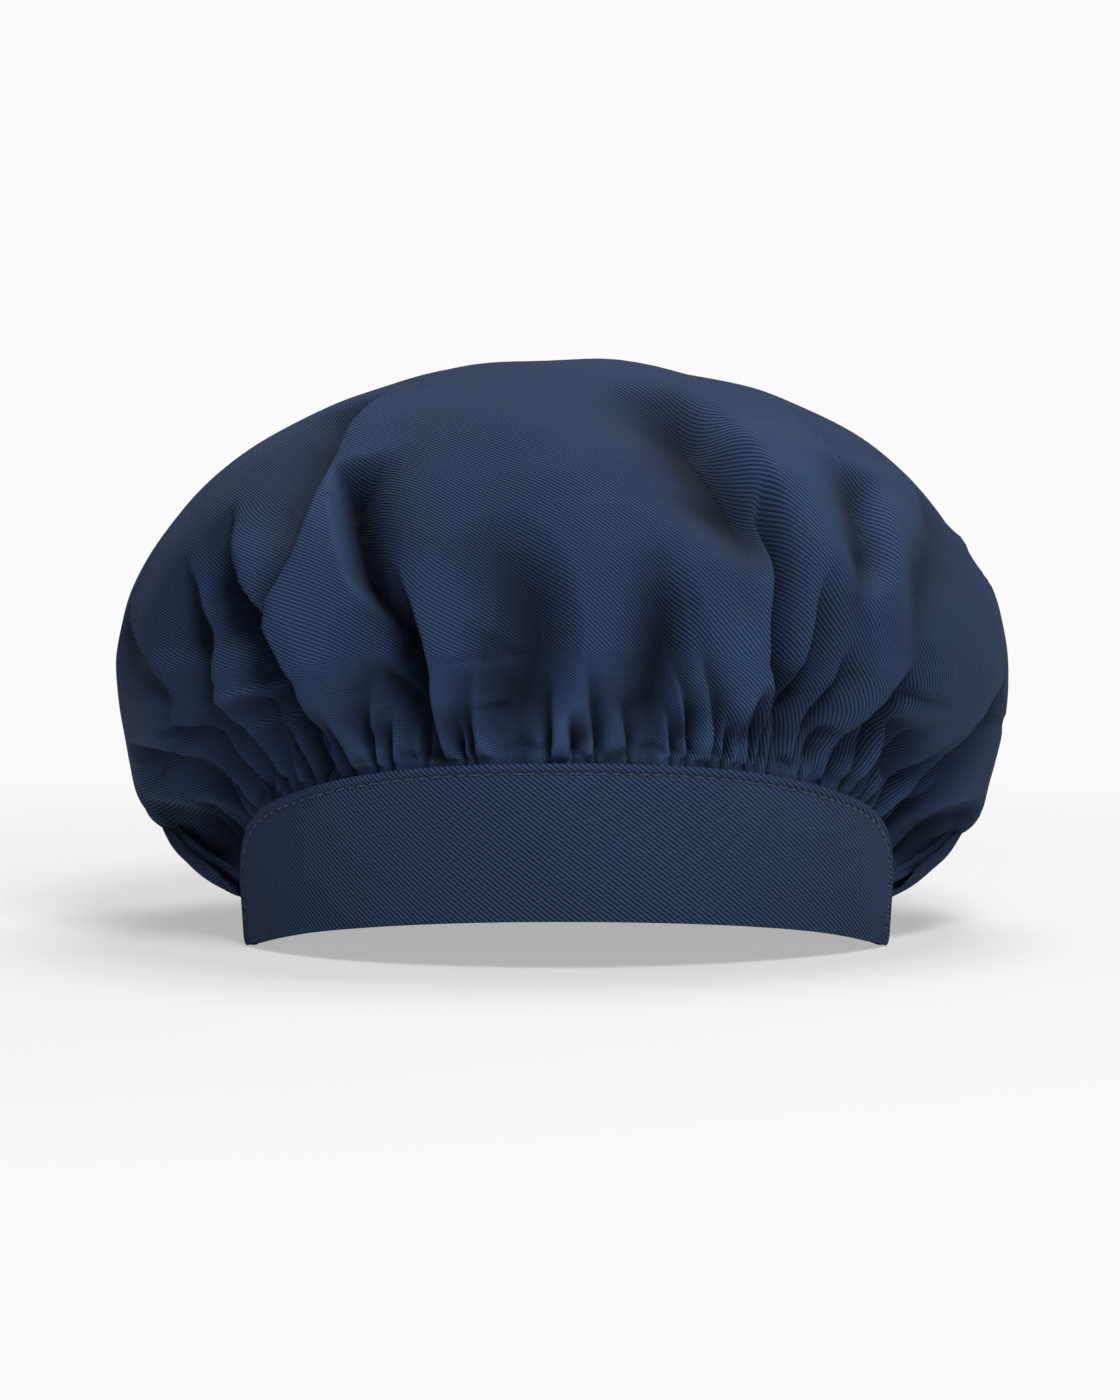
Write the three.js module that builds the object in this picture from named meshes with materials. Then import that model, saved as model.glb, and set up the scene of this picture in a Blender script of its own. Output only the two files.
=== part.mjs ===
// Bouffant work cap: a curved front band, a full gathered crown and an elastic hem round the back.
// Millimetres, +Z up. The cap stands on z = 0 with its front towards -Y and its left side, as seen
// from the front, towards -X. Shapes are worked out about the centre of the head opening, and the
// whole group is then moved so that its origin is the middle of its own footprint.
import * as THREE from "three";
import { mergeVertices } from "three/addons/utils/BufferGeometryUtils.js";

const DEG = Math.PI / 180;

// Cloth and clearances
const CLOTH = 1.3; // crown wall
const GAP = 0.3; // clearance where pieces are sewn together
const SEAM_ALLOWANCE = 6; // crown cloth tucked down behind the band's edge

// Front band, measured on the cylinder that it is bent round: s runs along it, h up it
const BAND_RADIUS = 95; // outer face
const BAND_THICKNESS = 2.2;
const BAND_TOP_MIDDLE = 54.7; // height of the top edge at the front
const BAND_SHOULDER_S = 86; // where the top edge turns into the round corner
const BAND_SHOULDER_DROP = 11.2;
const BAND_SHOULDER_POWER = 2.3;
const BAND_CORNER = [[86, 43.5], [104, 38.5], [119.5, 32], [117.3, 16]]; // cubic corner curve
const BAND_SIDE_FOOT = [114.4, 2.8];
const BAND_FOOT_CONTROL = [113.7, 0];
const BAND_FOOT_S = 111; // half length of the bottom edge
const BAND_ARCH = 12.9; // rise of the bottom edge at the front
const BAND_BORDER = 8; // even border inside the edge

// Seam of the crown along the band: it stops at this height on the band's side edge
const SEAM_END_H = 11;
const SEAM_OFFSET = 1.2; // the crown leaves just outside the band's edge
const SEAM_RADIUS = BAND_RADIUS - BAND_THICKNESS - GAP - 0.5; // outer face of the tucked cloth
const SEAM_TURN = 100; // meridian where the band's seam ends and the hem begins
const FRONT_SPREAD = 11; // how far the front meridians fan out along the seam, degrees

// Elastic hem round the back
const HEM_HALF_WIDTH = 87.6;
const HEM_MIDDLE_Y = -8;
const HEM_FRONT_REACH = 86.2; // half length of its front ellipse
const HEM_BACK_Y = 92;
const HEM_SQUARENESS = 2.4;
const HEM_FRONT_Y = -41; // its ends lie behind the band
const HEM_THICKNESS = 3;
const HEM_HEIGHT = 8.5;
const HEM_GATHERS = 35; // soft ripples of the casing
const HEM_RIPPLE = 0.28;

// Crown form
const CROWN_HEIGHT = 159.8;
const CROWN_HALF_WIDTH = 125.4;
const CROWN_MIDDLE_X = -1;
const CROWN_MIDDLE_Y = 12;
const CROWN_FRONT_REACH = 120;
const CROWN_BACK_REACH = 122;
const WIDEST_Z = 72; // height of the widest line at the sides
const WIDEST_FRONT_LIFT = 10;
const WIDEST_BACK_DROP = 8;
const WIDEST_RISE = 0.38; // rise value of the widest line, from 0 at the seam to 1 at the top
const SIDE_FULLNESS = 0.42; // handle length of the lower curve
const DEEPEST_VALLEY = 15; // where valleys meet, they are no deeper than this

// Main folds as seen from the front. Each valley runs through four [turn, rise] places: turn is the
// meridian in degrees, negative on the left, and rise goes from 0 at the seam to 1 at the top.
// width is the half width, depth the deepest point, both in mm, and crisp names the sharper side.
const LEFT = -1;
const RIGHT = 1;
const FOLD_COLUMNS = ["name", "foot", "knee", "bend", "head", "width", "depth", "crisp"];
const FOLD_ROWS = [
  ["left ear", [-93, 0.01], [-96, 0.03], [-98, 0.06], [-101, 0.1], 6, 5, RIGHT],
  ["left cheek low", [-81, 0.01], [-86, 0.04], [-94, 0.08], [-106, 0.15], 7, 8, RIGHT],
  ["left cheek", [-73, 0.01], [-72, 0.07], [-74, 0.17], [-82, 0.29], 9, 9, RIGHT],
  ["left outer", [-61, 0.01], [-58, 0.14], [-62, 0.33], [-88, 0.44], 7, 8, RIGHT],
  ["left second", [-48, 0.05], [-45, 0.24], [-51, 0.4], [-71, 0.49], 8, 9, RIGHT],
  ["left main", [-38, 0.03], [-34, 0.22], [-38, 0.4], [-58, 0.58], 11, 13, RIGHT],
  ["left inner small", [-23, 0.03], [-20, 0.2], [-21, 0.32], [-23, 0.42], 5, 5, RIGHT],
  ["left inner main", [-17, 0.02], [-17, 0.3], [-24, 0.49], [-39, 0.67], 11, 13, RIGHT],
  ["left crown", [-39, 0.5], [-40, 0.59], [-47, 0.7], [-57, 0.8], 11, 8, RIGHT],
  ["front soft", [-6, 0.02], [-6, 0.24], [-4, 0.44], [-11, 0.6], 11, 8, RIGHT],
  ["front right", [12, 0.01], [12, 0.2], [12, 0.4], [13, 0.56], 9, 6.5, LEFT],
  ["right crease", [28, 0.02], [26, 0.26], [27, 0.46], [37, 0.68], 7, 10.5, LEFT],
  ["right crown", [23, 0.53], [26, 0.63], [30, 0.72], [35, 0.82], 13, 9, RIGHT],
  ["right third", [32, 0.03], [29, 0.2], [31, 0.38], [37, 0.52], 6, 6.5, LEFT],
  ["right hook", [40, 0.48], [44, 0.53], [48, 0.58], [54, 0.66], 8, 8, LEFT],
  ["right fourth", [39, 0.03], [35, 0.18], [37, 0.34], [42, 0.46], 6, 6.5, LEFT],
  ["right fifth", [45, 0.03], [41, 0.16], [43, 0.3], [48, 0.41], 6, 6.5, LEFT],
  ["right lobe", [45, 0.41], [46, 0.48], [54, 0.58], [67, 0.67], 7, 6.5, LEFT],
  ["right main", [50, 0.05], [48, 0.22], [51, 0.4], [62, 0.54], 8, 10.5, LEFT],
  ["right cheek", [70, 0.03], [65, 0.15], [66, 0.28], [80, 0.39], 10, 9, LEFT],
  ["right cheek low", [79, 0.01], [83, 0.05], [87, 0.1], [94, 0.16], 7, 8, LEFT],
  ["right ear", [93, 0.01], [95, 0.03], [97, 0.06], [101, 0.1], 6, 5, LEFT],
  ["top dent", [-22, 0.72], [-27, 0.79], [-38, 0.85], [-55, 0.9], 15, 4, RIGHT],
];
const FOLDS = FOLD_ROWS.map((row) => Object.fromEntries(row.map((value, i) => [FOLD_COLUMNS[i], value])));

// Folds round the back, which nothing shows, run up from the hem in a long and short rhythm
const BACK_FOLDS = { count: 15, from: 110, to: 250, long: 0.56, short: 0.34, width: 9, depth: 8, sway: 7 };

// Fine gathers along the whole seam
const FRONT_GATHER_STEP = 5.2; // degrees of turn
const BACK_GATHER_STEP = 6.8;
const FRONT_GATHER_DEPTH = 2.2;
const BACK_GATHER_DEPTH = 3;
const GATHER_RISE = 0.17; // they have died away at this rise

// Mesh fineness
const CROWN_RISES = [
  0.03, 0.07, 0.11, 0.16, 0.21, 0.26, 0.31, 0.36, 0.41, 0.46, 0.51, 0.56, 0.61, 0.67, 0.74, 0.82, 0.91,
];
const FOLD_SAMPLES = 14;
const BAND_EDGE_STEPS = 34;
const BAND_FILL_ROWS = 3;
const HEM_STEPS = 70;

const smooth = (x) => {
  const k = Math.min(Math.max(x, 0), 1);
  return k * k * (3 - 2 * k);
};

// Half of the band's edge, from the middle of the top round the corner to the foot
function bandEdge() {
  const points = [];
  const topSteps = 18;
  for (let i = 0; i < topSteps; i += 1) {
    const s = (BAND_SHOULDER_S * i) / topSteps;
    const drop = BAND_SHOULDER_DROP * (s / BAND_SHOULDER_S) ** BAND_SHOULDER_POWER;
    points.push(new THREE.Vector2(s, BAND_TOP_MIDDLE - drop));
  }
  const corner = new THREE.CubicBezierCurve(...BAND_CORNER.map(([s, h]) => new THREE.Vector2(s, h)));
  points.push(...corner.getPoints(12));
  const sideFoot = new THREE.Vector2(...BAND_SIDE_FOOT);
  points.push(points.at(-1).clone().lerp(sideFoot, 0.35));
  const foot = new THREE.QuadraticBezierCurve(
    sideFoot,
    new THREE.Vector2(...BAND_FOOT_CONTROL),
    new THREE.Vector2(BAND_FOOT_S, bandBottom(BAND_FOOT_S)),
  );
  points.push(...foot.getPoints(4));
  return points;
}

// Height of the band's bottom edge at s
function bandBottom(s) {
  return BAND_ARCH * (1 - (s / BAND_FOOT_S) ** 2);
}

// A polyline that can be asked for its point and direction at any length along it
class Route {
  constructor(points) {
    this.points = points;
    this.lengths = [0];
    for (let i = 1; i < points.length; i += 1) {
      this.lengths.push(this.lengths[i - 1] + points[i].distanceTo(points[i - 1]));
    }
    this.length = this.lengths.at(-1);
  }

  at(length) {
    const wanted = Math.min(Math.max(length, 0), this.length);
    let i = 1;
    while (i < this.points.length - 1 && this.lengths[i] < wanted) {
      i += 1;
    }
    const part = (wanted - this.lengths[i - 1]) / (this.lengths[i] - this.lengths[i - 1]);
    const point = this.points[i - 1].clone().lerp(this.points[i], part);
    const along = this.points[i].clone().sub(this.points[i - 1]).normalize();
    return { point, along };
  }

  lengthAtHeight(height) {
    const i = this.points.findIndex((point) => point.y < height);
    const above = this.points[i - 1];
    const part = (above.y - height) / (above.y - this.points[i].y);
    return this.lengths[i - 1] + part * (this.lengths[i] - this.lengths[i - 1]);
  }
}

const edge = new Route(bandEdge());
const seamLength = edge.lengthAtHeight(SEAM_END_H);

// A place on a cylinder about the opening's centre, from s and h on the band and a radius
function onCylinder(s, h, radius) {
  const angle = s / BAND_RADIUS;
  return new THREE.Vector3(radius * Math.sin(angle), -radius * Math.cos(angle), h);
}

// Plan of the hem's middle line: part runs from 0 at its front end to 1 at the middle of the back
function hemPlan(part) {
  const frontAngle = Math.asin((HEM_MIDDLE_Y - HEM_FRONT_Y) / HEM_FRONT_REACH);
  const frontShare = 0.2;
  if (part < frontShare) {
    const angle = frontAngle * (1 - part / frontShare);
    return new THREE.Vector2(
      HEM_HALF_WIDTH * Math.cos(angle),
      HEM_MIDDLE_Y - HEM_FRONT_REACH * Math.sin(angle),
    );
  }
  const angle = ((part - frontShare) / (1 - frontShare)) * (Math.PI / 2);
  const power = 2 / HEM_SQUARENESS;
  return new THREE.Vector2(
    HEM_HALF_WIDTH * Math.max(Math.cos(angle), 0) ** power,
    HEM_MIDDLE_Y + (HEM_BACK_Y - HEM_MIDDLE_Y) * Math.sin(angle) ** power,
  );
}

const HEM_PLAN_STEPS = 60;
const hemHalf = new Route(Array.from({ length: HEM_PLAN_STEPS + 1 }, (_, i) => hemPlan(i / HEM_PLAN_STEPS)));

// Length along the hem's half at which the crown passes from the band to the hem
const hemJoin = hemHalf.lengths[hemHalf.points.findIndex((point) => point.y > onCylinder(BAND_SIDE_FOOT[0], 0, BAND_RADIUS).y + 4)];

// Where the crown's cloth leaves its seam at a meridian, which way it sets off, and which way the
// hidden seam allowance runs back from there
function seamAt(turn) {
  const side = turn < 0 ? -1 : 1;
  const spread = Math.abs(turn) + FRONT_SPREAD * Math.sin(Math.PI * Math.min(Math.abs(turn) / SEAM_TURN, 1));
  const onBand = edge.at(seamLength * Math.min(spread / SEAM_TURN, 1));
  const outward = new THREE.Vector2(-onBand.along.y, onBand.along.x);
  const s = onBand.point.x + outward.x * SEAM_OFFSET;
  const h = onBand.point.y + outward.y * SEAM_OFFSET;
  const angle = s / BAND_RADIUS;
  const tangent = new THREE.Vector3(Math.cos(angle), Math.sin(angle), 0);
  const radial = new THREE.Vector3(Math.sin(angle), -Math.cos(angle), 0);
  const upright = new THREE.Vector3(0, 0, 1);
  const sideways = smooth((spread - 60) / 40);
  const start = onCylinder(s, h, SEAM_RADIUS);
  const leave = tangent.clone().multiplyScalar(outward.x * 0.62 * (1 - 0.45 * sideways));
  leave.addScaledVector(upright, outward.y * 0.62 * (1 - 0.6 * sideways) + 0.35 * sideways);
  leave.addScaledVector(radial, 0.78);
  const tuck = tangent.clone().multiplyScalar(-outward.x * SEAM_ALLOWANCE);
  tuck.addScaledVector(upright, -outward.y * SEAM_ALLOWANCE);
  const inward = radial.clone().negate();

  if (spread > SEAM_TURN) {
    const share = (spread - SEAM_TURN) / (180 - SEAM_TURN);
    const onHem = hemHalf.at(hemJoin + (hemHalf.length - hemJoin) * share);
    const hemOut = new THREE.Vector3(onHem.along.y, -onHem.along.x, 0);
    const hemStart = new THREE.Vector3(onHem.point.x, onHem.point.y, SEAM_END_H);
    hemStart.addScaledVector(hemOut, CLOTH / 2);
    const blend = smooth(share / 0.14);
    start.z = SEAM_END_H;
    start.lerp(hemStart, blend);
    leave.normalize().lerp(hemOut.clone().setZ(0.45).normalize(), blend);
    tuck.lerp(new THREE.Vector3(0, 0, HEM_HEIGHT + GAP - SEAM_END_H), smooth(share / 0.08));
    inward.lerp(hemOut.clone().negate(), blend);
  }
  leave.normalize();
  inward.normalize();
  for (const vector of [start, leave, tuck, inward]) {
    vector.x *= side;
  }
  return { start, leave, tuck, inward };
}

// Widest point of the crown on a meridian
function widestAt(turn) {
  const forward = Math.cos(turn * DEG);
  const reach = forward > 0 ? CROWN_FRONT_REACH : CROWN_BACK_REACH;
  return new THREE.Vector3(
    CROWN_MIDDLE_X + CROWN_HALF_WIDTH * Math.sin(turn * DEG),
    CROWN_MIDDLE_Y - reach * forward,
    WIDEST_Z + WIDEST_FRONT_LIFT * Math.max(forward, 0) ** 2 - WIDEST_BACK_DROP * Math.max(-forward, 0),
  );
}

// Smooth form of the crown, without its folds
function crownForm(turn, rise) {
  const widest = widestAt(turn);
  if (rise <= WIDEST_RISE) {
    const { start, leave } = seamAt(turn);
    const handle = start.distanceTo(widest) * SIDE_FULLNESS;
    const curve = new THREE.CubicBezierCurve3(
      start,
      start.clone().addScaledVector(leave, handle),
      widest.clone().setZ(widest.z - handle),
      widest,
    );
    return curve.getPoint(rise / WIDEST_RISE);
  }
  const angle = ((rise - WIDEST_RISE) / (1 - WIDEST_RISE)) * (Math.PI / 2);
  return new THREE.Vector3(
    CROWN_MIDDLE_X + (widest.x - CROWN_MIDDLE_X) * Math.cos(angle),
    CROWN_MIDDLE_Y + (widest.y - CROWN_MIDDLE_Y) * Math.cos(angle),
    widest.z + (CROWN_HEIGHT - widest.z) * Math.sin(angle),
  );
}

function crownNormal(turn, rise) {
  const step = 0.004;
  const across = crownForm(turn + 0.5, rise).sub(crownForm(turn - 0.5, rise));
  const up = crownForm(turn, Math.min(rise + step, 0.999)).sub(crownForm(turn, Math.max(rise - step, 0)));
  return across.cross(up).normalize();
}

// A fold ready to use: its valley line laid on the crown's form
function laidFold(fold) {
  const places = [fold.foot, fold.knee, fold.bend, fold.head].map(([turn, rise]) => new THREE.Vector3(turn, rise * 100, 0));
  const line = new THREE.CatmullRomCurve3(places, false, "centripetal");
  const samples = line.getPoints(FOLD_SAMPLES).map((place) => ({
    turn: place.x,
    point: crownForm(place.x, Math.max(place.y / 100, 0)),
  }));
  return { ...fold, samples };
}

function backFolds() {
  const folds = [];
  for (let i = 0; i < BACK_FOLDS.count; i += 1) {
    const turn = BACK_FOLDS.from + ((BACK_FOLDS.to - BACK_FOLDS.from) * i) / (BACK_FOLDS.count - 1);
    const signed = turn > 180 ? turn - 360 : turn;
    const height = i % 2 === 0 ? BACK_FOLDS.long : BACK_FOLDS.short;
    const sway = BACK_FOLDS.sway * Math.sin(2.3 * i + 0.7);
    folds.push({
      name: `back ${i + 1}`,
      foot: [signed, 0.02],
      knee: [signed + 0.2 * sway, height * 0.35],
      bend: [signed + 0.6 * sway, height * 0.7],
      head: [signed + sway, height],
      width: BACK_FOLDS.width * (1 + 0.2 * Math.sin(1.7 * i)),
      depth: BACK_FOLDS.depth * (1 + 0.25 * Math.sin(2.9 * i + 1)),
      crisp: i % 3 === 0 ? RIGHT : LEFT,
    });
  }
  return folds;
}

const laidFolds = [...FOLDS, ...backFolds()].map(laidFold);

// Height of one fold's profile at a point of the form: negative in its valley
function foldHeight(fold, turn, point) {
  let nearest = Infinity;
  let part = 0;
  let lineTurn = 0;
  for (let i = 1; i < fold.samples.length; i += 1) {
    const from = fold.samples[i - 1];
    const to = fold.samples[i];
    const step = to.point.clone().sub(from.point);
    const k = Math.min(Math.max(point.clone().sub(from.point).dot(step) / step.lengthSq(), 0), 1);
    const distance = point.distanceTo(from.point.clone().addScaledVector(step, k));
    if (distance < nearest) {
      nearest = distance;
      part = (i - 1 + k) / (fold.samples.length - 1);
      lineTurn = from.turn + (to.turn - from.turn) * k;
    }
  }
  const away = ((turn - lineTurn + 540) % 360) - 180;
  const onCrispSide = away * fold.crisp > 0;
  const width = fold.width * (0.4 + 0.7 * smooth(part / 0.5)) * (onCrispSide ? 0.7 : 1.2);
  const depth = fold.depth * (0.25 + 0.75 * smooth(part / 0.4)) * (1 - smooth((part - 0.55) / 0.45));
  const valley = -depth * Math.exp(-((nearest / width) ** 2));
  const ridge = onCrispSide ? 0.22 * depth * Math.exp(-(((nearest - 2 * width) / width) ** 2)) : 0;
  return valley + ridge;
}

// Fine gathers: alternate columns of the crown are their valleys
function gatherHeight(column, turn, rise) {
  const fade = smooth(rise / 0.03) * (1 - smooth((rise - 0.04) / GATHER_RISE));
  const unevenness = 0.75 + 0.35 * Math.sin(0.31 * turn + 0.9 * column);
  const depth = Math.abs(turn) > SEAM_TURN ? BACK_GATHER_DEPTH : FRONT_GATHER_DEPTH;
  return (column % 2 === 0 ? -1 : 0.3) * depth * unevenness * fade;
}

// Meridians of the crown's mesh: two for each gather, closer together in front than behind
function crownColumns() {
  const columns = [];
  let turn = -100;
  while (turn < 100) {
    columns.push(turn);
    turn += FRONT_GATHER_STEP / 2;
  }
  const backSteps = 2 * Math.round((360 - (turn + 100)) / BACK_GATHER_STEP);
  for (let i = 0; i < backSteps; i += 1) {
    const back = turn + ((260 - turn) * i) / backSteps;
    columns.push(back > 180 ? back - 360 : back);
  }
  return columns;
}

// Closed mesh from rings of points, the first and last closed by a pole or a flat cap
function loftRings(rings, closed) {
  const positions = rings.flat().flatMap((point) => [point.x, point.y, point.z]);
  const count = rings[0].length;
  const indices = [];
  for (let i = 0; i + 1 < rings.length; i += 1) {
    for (let j = 0; j < count; j += 1) {
      const k = (j + 1) % count;
      const [a, b, c, d] = [i * count + j, i * count + k, (i + 1) * count + k, (i + 1) * count + j];
      indices.push(a, b, c, a, c, d);
    }
  }
  for (const [ring, pole, flip] of closed) {
    const poleIndex = positions.length / 3;
    positions.push(pole.x, pole.y, pole.z);
    for (let j = 0; j < count; j += 1) {
      const a = ring * count + j;
      const b = ring * count + ((j + 1) % count);
      indices.push(...(flip ? [poleIndex, b, a] : [poleIndex, a, b]));
    }
  }
  return tidyGeometry(positions, indices);
}

// Merged geometry without the faces that collapse where points coincide
function tidyGeometry(positions, indices) {
  const loose = new THREE.BufferGeometry();
  loose.setAttribute("position", new THREE.Float32BufferAttribute(positions, 3));
  loose.setIndex(indices);
  const merged = mergeVertices(loose, 1e-4);
  const index = merged.getIndex().array;
  const kept = [];
  for (let i = 0; i < index.length; i += 3) {
    const [a, b, c] = [index[i], index[i + 1], index[i + 2]];
    if (a !== b && b !== c && a !== c) {
      kept.push(a, b, c);
    }
  }
  merged.setIndex(kept);
  merged.computeVertexNormals();
  return merged;
}

// Thin plate between two sheets of points with the same rows and columns
function plateFromSheets(front, back) {
  const rows = front.length;
  const columns = front[0].length;
  const positions = [...front, ...back].flat().flatMap((point) => [point.x, point.y, point.z]);
  const frontAt = (i, j) => i * columns + j;
  const backAt = (i, j) => rows * columns + i * columns + j;
  const indices = [];
  for (let i = 0; i + 1 < rows; i += 1) {
    for (let j = 0; j + 1 < columns; j += 1) {
      const f = [frontAt(i, j), frontAt(i, j + 1), frontAt(i + 1, j + 1), frontAt(i + 1, j)];
      const b = [backAt(i, j), backAt(i, j + 1), backAt(i + 1, j + 1), backAt(i + 1, j)];
      indices.push(f[0], f[2], f[1], f[0], f[3], f[2]);
      indices.push(b[0], b[1], b[2], b[0], b[2], b[3]);
    }
  }
  const rim = [];
  for (let j = 0; j < columns; j += 1) rim.push([0, j]);
  for (let i = 1; i < rows; i += 1) rim.push([i, columns - 1]);
  for (let j = columns - 2; j >= 0; j -= 1) rim.push([rows - 1, j]);
  for (let i = rows - 2; i > 0; i -= 1) rim.push([i, 0]);
  rim.forEach(([i, j], n) => {
    const [ni, nj] = rim[(n + 1) % rim.length];
    const [a, b, c, d] = [frontAt(i, j), frontAt(ni, nj), backAt(ni, nj), backAt(i, j)];
    indices.push(a, b, c, a, c, d);
  });
  return tidyGeometry(positions, indices);
}

// Front band: rows run inwards from its edge, first an even border, then down to the bottom edge
function frontBand() {
  const front = [];
  const back = [];
  const footDirection = new THREE.Vector2(-1, (bandBottom(BAND_FOOT_S - 1) - bandBottom(BAND_FOOT_S)));
  footDirection.normalize();
  const rowCount = 2 + BAND_FILL_ROWS;
  for (let i = 0; i < rowCount; i += 1) {
    front.push([]);
    back.push([]);
  }
  for (let j = -BAND_EDGE_STEPS; j <= BAND_EDGE_STEPS; j += 1) {
    const side = j < 0 ? -1 : 1;
    const length = (edge.length * Math.abs(j)) / BAND_EDGE_STEPS;
    const { point, along } = edge.at(length);
    const inward = new THREE.Vector2(along.y, -along.x);
    const fromFoot = smooth((edge.length - length) / 16);
    const direction = footDirection.clone().lerp(inward, fromFoot).normalize();
    const border = point.clone().addScaledVector(direction, BAND_BORDER);
    const bottomS = (BAND_FOOT_S - BAND_BORDER) * (Math.abs(j) / BAND_EDGE_STEPS) ** 0.9;
    const bottom = new THREE.Vector2(bottomS, bandBottom(bottomS));
    if (Math.abs(j) === BAND_EDGE_STEPS) {
      border.copy(bottom);
    }
    for (let i = 0; i < rowCount; i += 1) {
      const place = i === 0 ? point : border.clone().lerp(bottom, (i - 1) / BAND_FILL_ROWS);
      front[i].push(onCylinder(side * place.x, place.y, BAND_RADIUS));
      back[i].push(onCylinder(side * place.x, place.y, BAND_RADIUS - BAND_THICKNESS));
    }
  }
  return plateFromSheets(front, back);
}

// Crown: one gathered cloth with a fine inner and outer face, open where the head goes in
function crown() {
  const columns = crownColumns();
  const rim = columns.map(seamAt);
  const outer = [
    rim.map(({ start, tuck }) => start.clone().add(tuck)),
    rim.map(({ start }) => start.clone()),
  ];
  for (const rise of CROWN_RISES) {
    outer.push(columns.map((turn, column) => {
      const form = crownForm(turn, rise);
      const folded = laidFolds.reduce((sum, fold) => sum + foldHeight(fold, turn, form), 0);
      const free = smooth((rise - 0.005) / 0.06);
      const height = Math.max(folded, -DEEPEST_VALLEY) * free + gatherHeight(column, turn, rise);
      return form.addScaledVector(crownNormal(turn, rise), height);
    }));
  }
  const top = new THREE.Vector3(CROWN_MIDDLE_X, CROWN_MIDDLE_Y, CROWN_HEIGHT);
  const inner = outer.map((ring, i) => ring.map((point, j) => {
    if (i < 2) {
      return point.clone().addScaledVector(rim[j].inward, CLOTH);
    }
    const before = ring[(j + ring.length - 1) % ring.length];
    const after = ring[(j + 1) % ring.length];
    const above = i + 1 < outer.length ? outer[i + 1][j] : top;
    const normal = after.clone().sub(before).cross(above.clone().sub(outer[i - 1][j])).normalize();
    return point.clone().addScaledVector(normal, -CLOTH);
  }));
  const rings = [...inner.reverse(), ...outer];
  const innerTop = top.clone().setZ(CROWN_HEIGHT - CLOTH);
  return loftRings(rings, [[0, innerTop, true], [rings.length - 1, top, false]]);
}

// Elastic hem: a flat casing on edge, softly rippled, from behind one band end round to the other
function elasticHem() {
  const rings = [];
  const halfSection = [HEM_THICKNESS / 2, HEM_HEIGHT / 2];
  const corner = 0.8;
  for (let i = 0; i <= HEM_STEPS; i += 1) {
    const signed = (2 * i) / HEM_STEPS - 1;
    const side = signed < 0 ? -1 : 1;
    const { point, along } = hemHalf.at(hemHalf.length * (1 - Math.abs(signed)));
    const out = new THREE.Vector3(side * along.y, -along.x, 0);
    const centre = new THREE.Vector3(side * point.x, point.y, HEM_HEIGHT / 2);
    const ripple = HEM_RIPPLE * Math.cos(Math.PI * HEM_GATHERS * signed);
    const half = halfSection[0] + ripple;
    const tall = halfSection[1];
    const section = [
      [half, corner - tall], [half, tall - corner], [half - corner, tall], [corner - half, tall],
      [-half, tall - corner], [-half, corner - tall], [corner - half, -tall], [half - corner, -tall],
    ];
    rings.push(section.map(([w, h]) => centre.clone().addScaledVector(out, w).add(new THREE.Vector3(0, 0, h))));
  }
  const middle = (ring) => ring.reduce((sum, point) => sum.add(point), new THREE.Vector3()).divideScalar(ring.length);
  const last = rings.length - 1;
  return loftRings(rings, [[0, middle(rings[0]), true], [last, middle(rings[last]), false]]);
}

// Navy cotton twill, each piece with its own finish
function clothMaterial(color, roughness) {
  return new THREE.MeshStandardMaterial({ color, roughness, metalness: 0 });
}

const PIECES = [
  { name: "front_band", geometry: frontBand(), material: clothMaterial(0x2c3850, 0.86) },
  { name: "crown", geometry: crown(), material: clothMaterial(0x303d58, 0.88) },
  { name: "elastic_hem", geometry: elasticHem(), material: clothMaterial(0x2a354c, 0.9) },
];

const cap = new THREE.Group();
for (const { name, geometry, material } of PIECES) {
  const mesh = new THREE.Mesh(geometry, material);
  mesh.name = name;
  cap.add(mesh);
}
const footprint = new THREE.Box3().setFromObject(cap);
cap.position.set(-(footprint.min.x + footprint.max.x) / 2, -(footprint.min.y + footprint.max.y) / 2, -footprint.min.z);

export default cap;
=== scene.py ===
import logging
import math
from dataclasses import dataclass
from enum import Enum

import bpy
import numpy as np
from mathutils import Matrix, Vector


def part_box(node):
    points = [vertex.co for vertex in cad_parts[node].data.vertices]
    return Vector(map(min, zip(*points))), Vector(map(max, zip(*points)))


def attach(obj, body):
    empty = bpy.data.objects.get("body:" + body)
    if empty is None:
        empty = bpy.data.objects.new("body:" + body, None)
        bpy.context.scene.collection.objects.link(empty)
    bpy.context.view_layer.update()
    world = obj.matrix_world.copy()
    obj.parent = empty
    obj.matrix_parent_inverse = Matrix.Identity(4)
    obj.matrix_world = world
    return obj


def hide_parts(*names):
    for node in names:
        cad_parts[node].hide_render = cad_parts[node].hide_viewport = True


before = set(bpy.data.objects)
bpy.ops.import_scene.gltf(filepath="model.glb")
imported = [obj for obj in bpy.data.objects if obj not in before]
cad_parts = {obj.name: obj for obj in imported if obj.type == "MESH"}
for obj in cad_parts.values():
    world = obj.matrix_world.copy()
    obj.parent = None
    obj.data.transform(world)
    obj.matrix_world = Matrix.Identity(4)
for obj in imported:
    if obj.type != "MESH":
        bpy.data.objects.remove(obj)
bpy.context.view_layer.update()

# Bouffant work cap in navy cotton twill: front band, gathered crown and elastic hem.
# Shapes are worked out in millimetres about the centre of the head opening, with the front
# towards -Y, and are moved to the CAD frame and into metres when a mesh is made.

MM = 0.001
DEG = math.pi / 180
# Share of the crown's turn by which its weave turns. The faces that close the ring behind would then
# span the cut's gap, so a face wider than WIDEST_FACE metres on the cloth takes its places on one side.
CLOTH_TURN = 0.45
WIDEST_FACE = 0.05
LOG = logging.getLogger("bouffant_cap")

Array = np.ndarray
Place = tuple[float, float]
Color = tuple[float, float, float]


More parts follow.
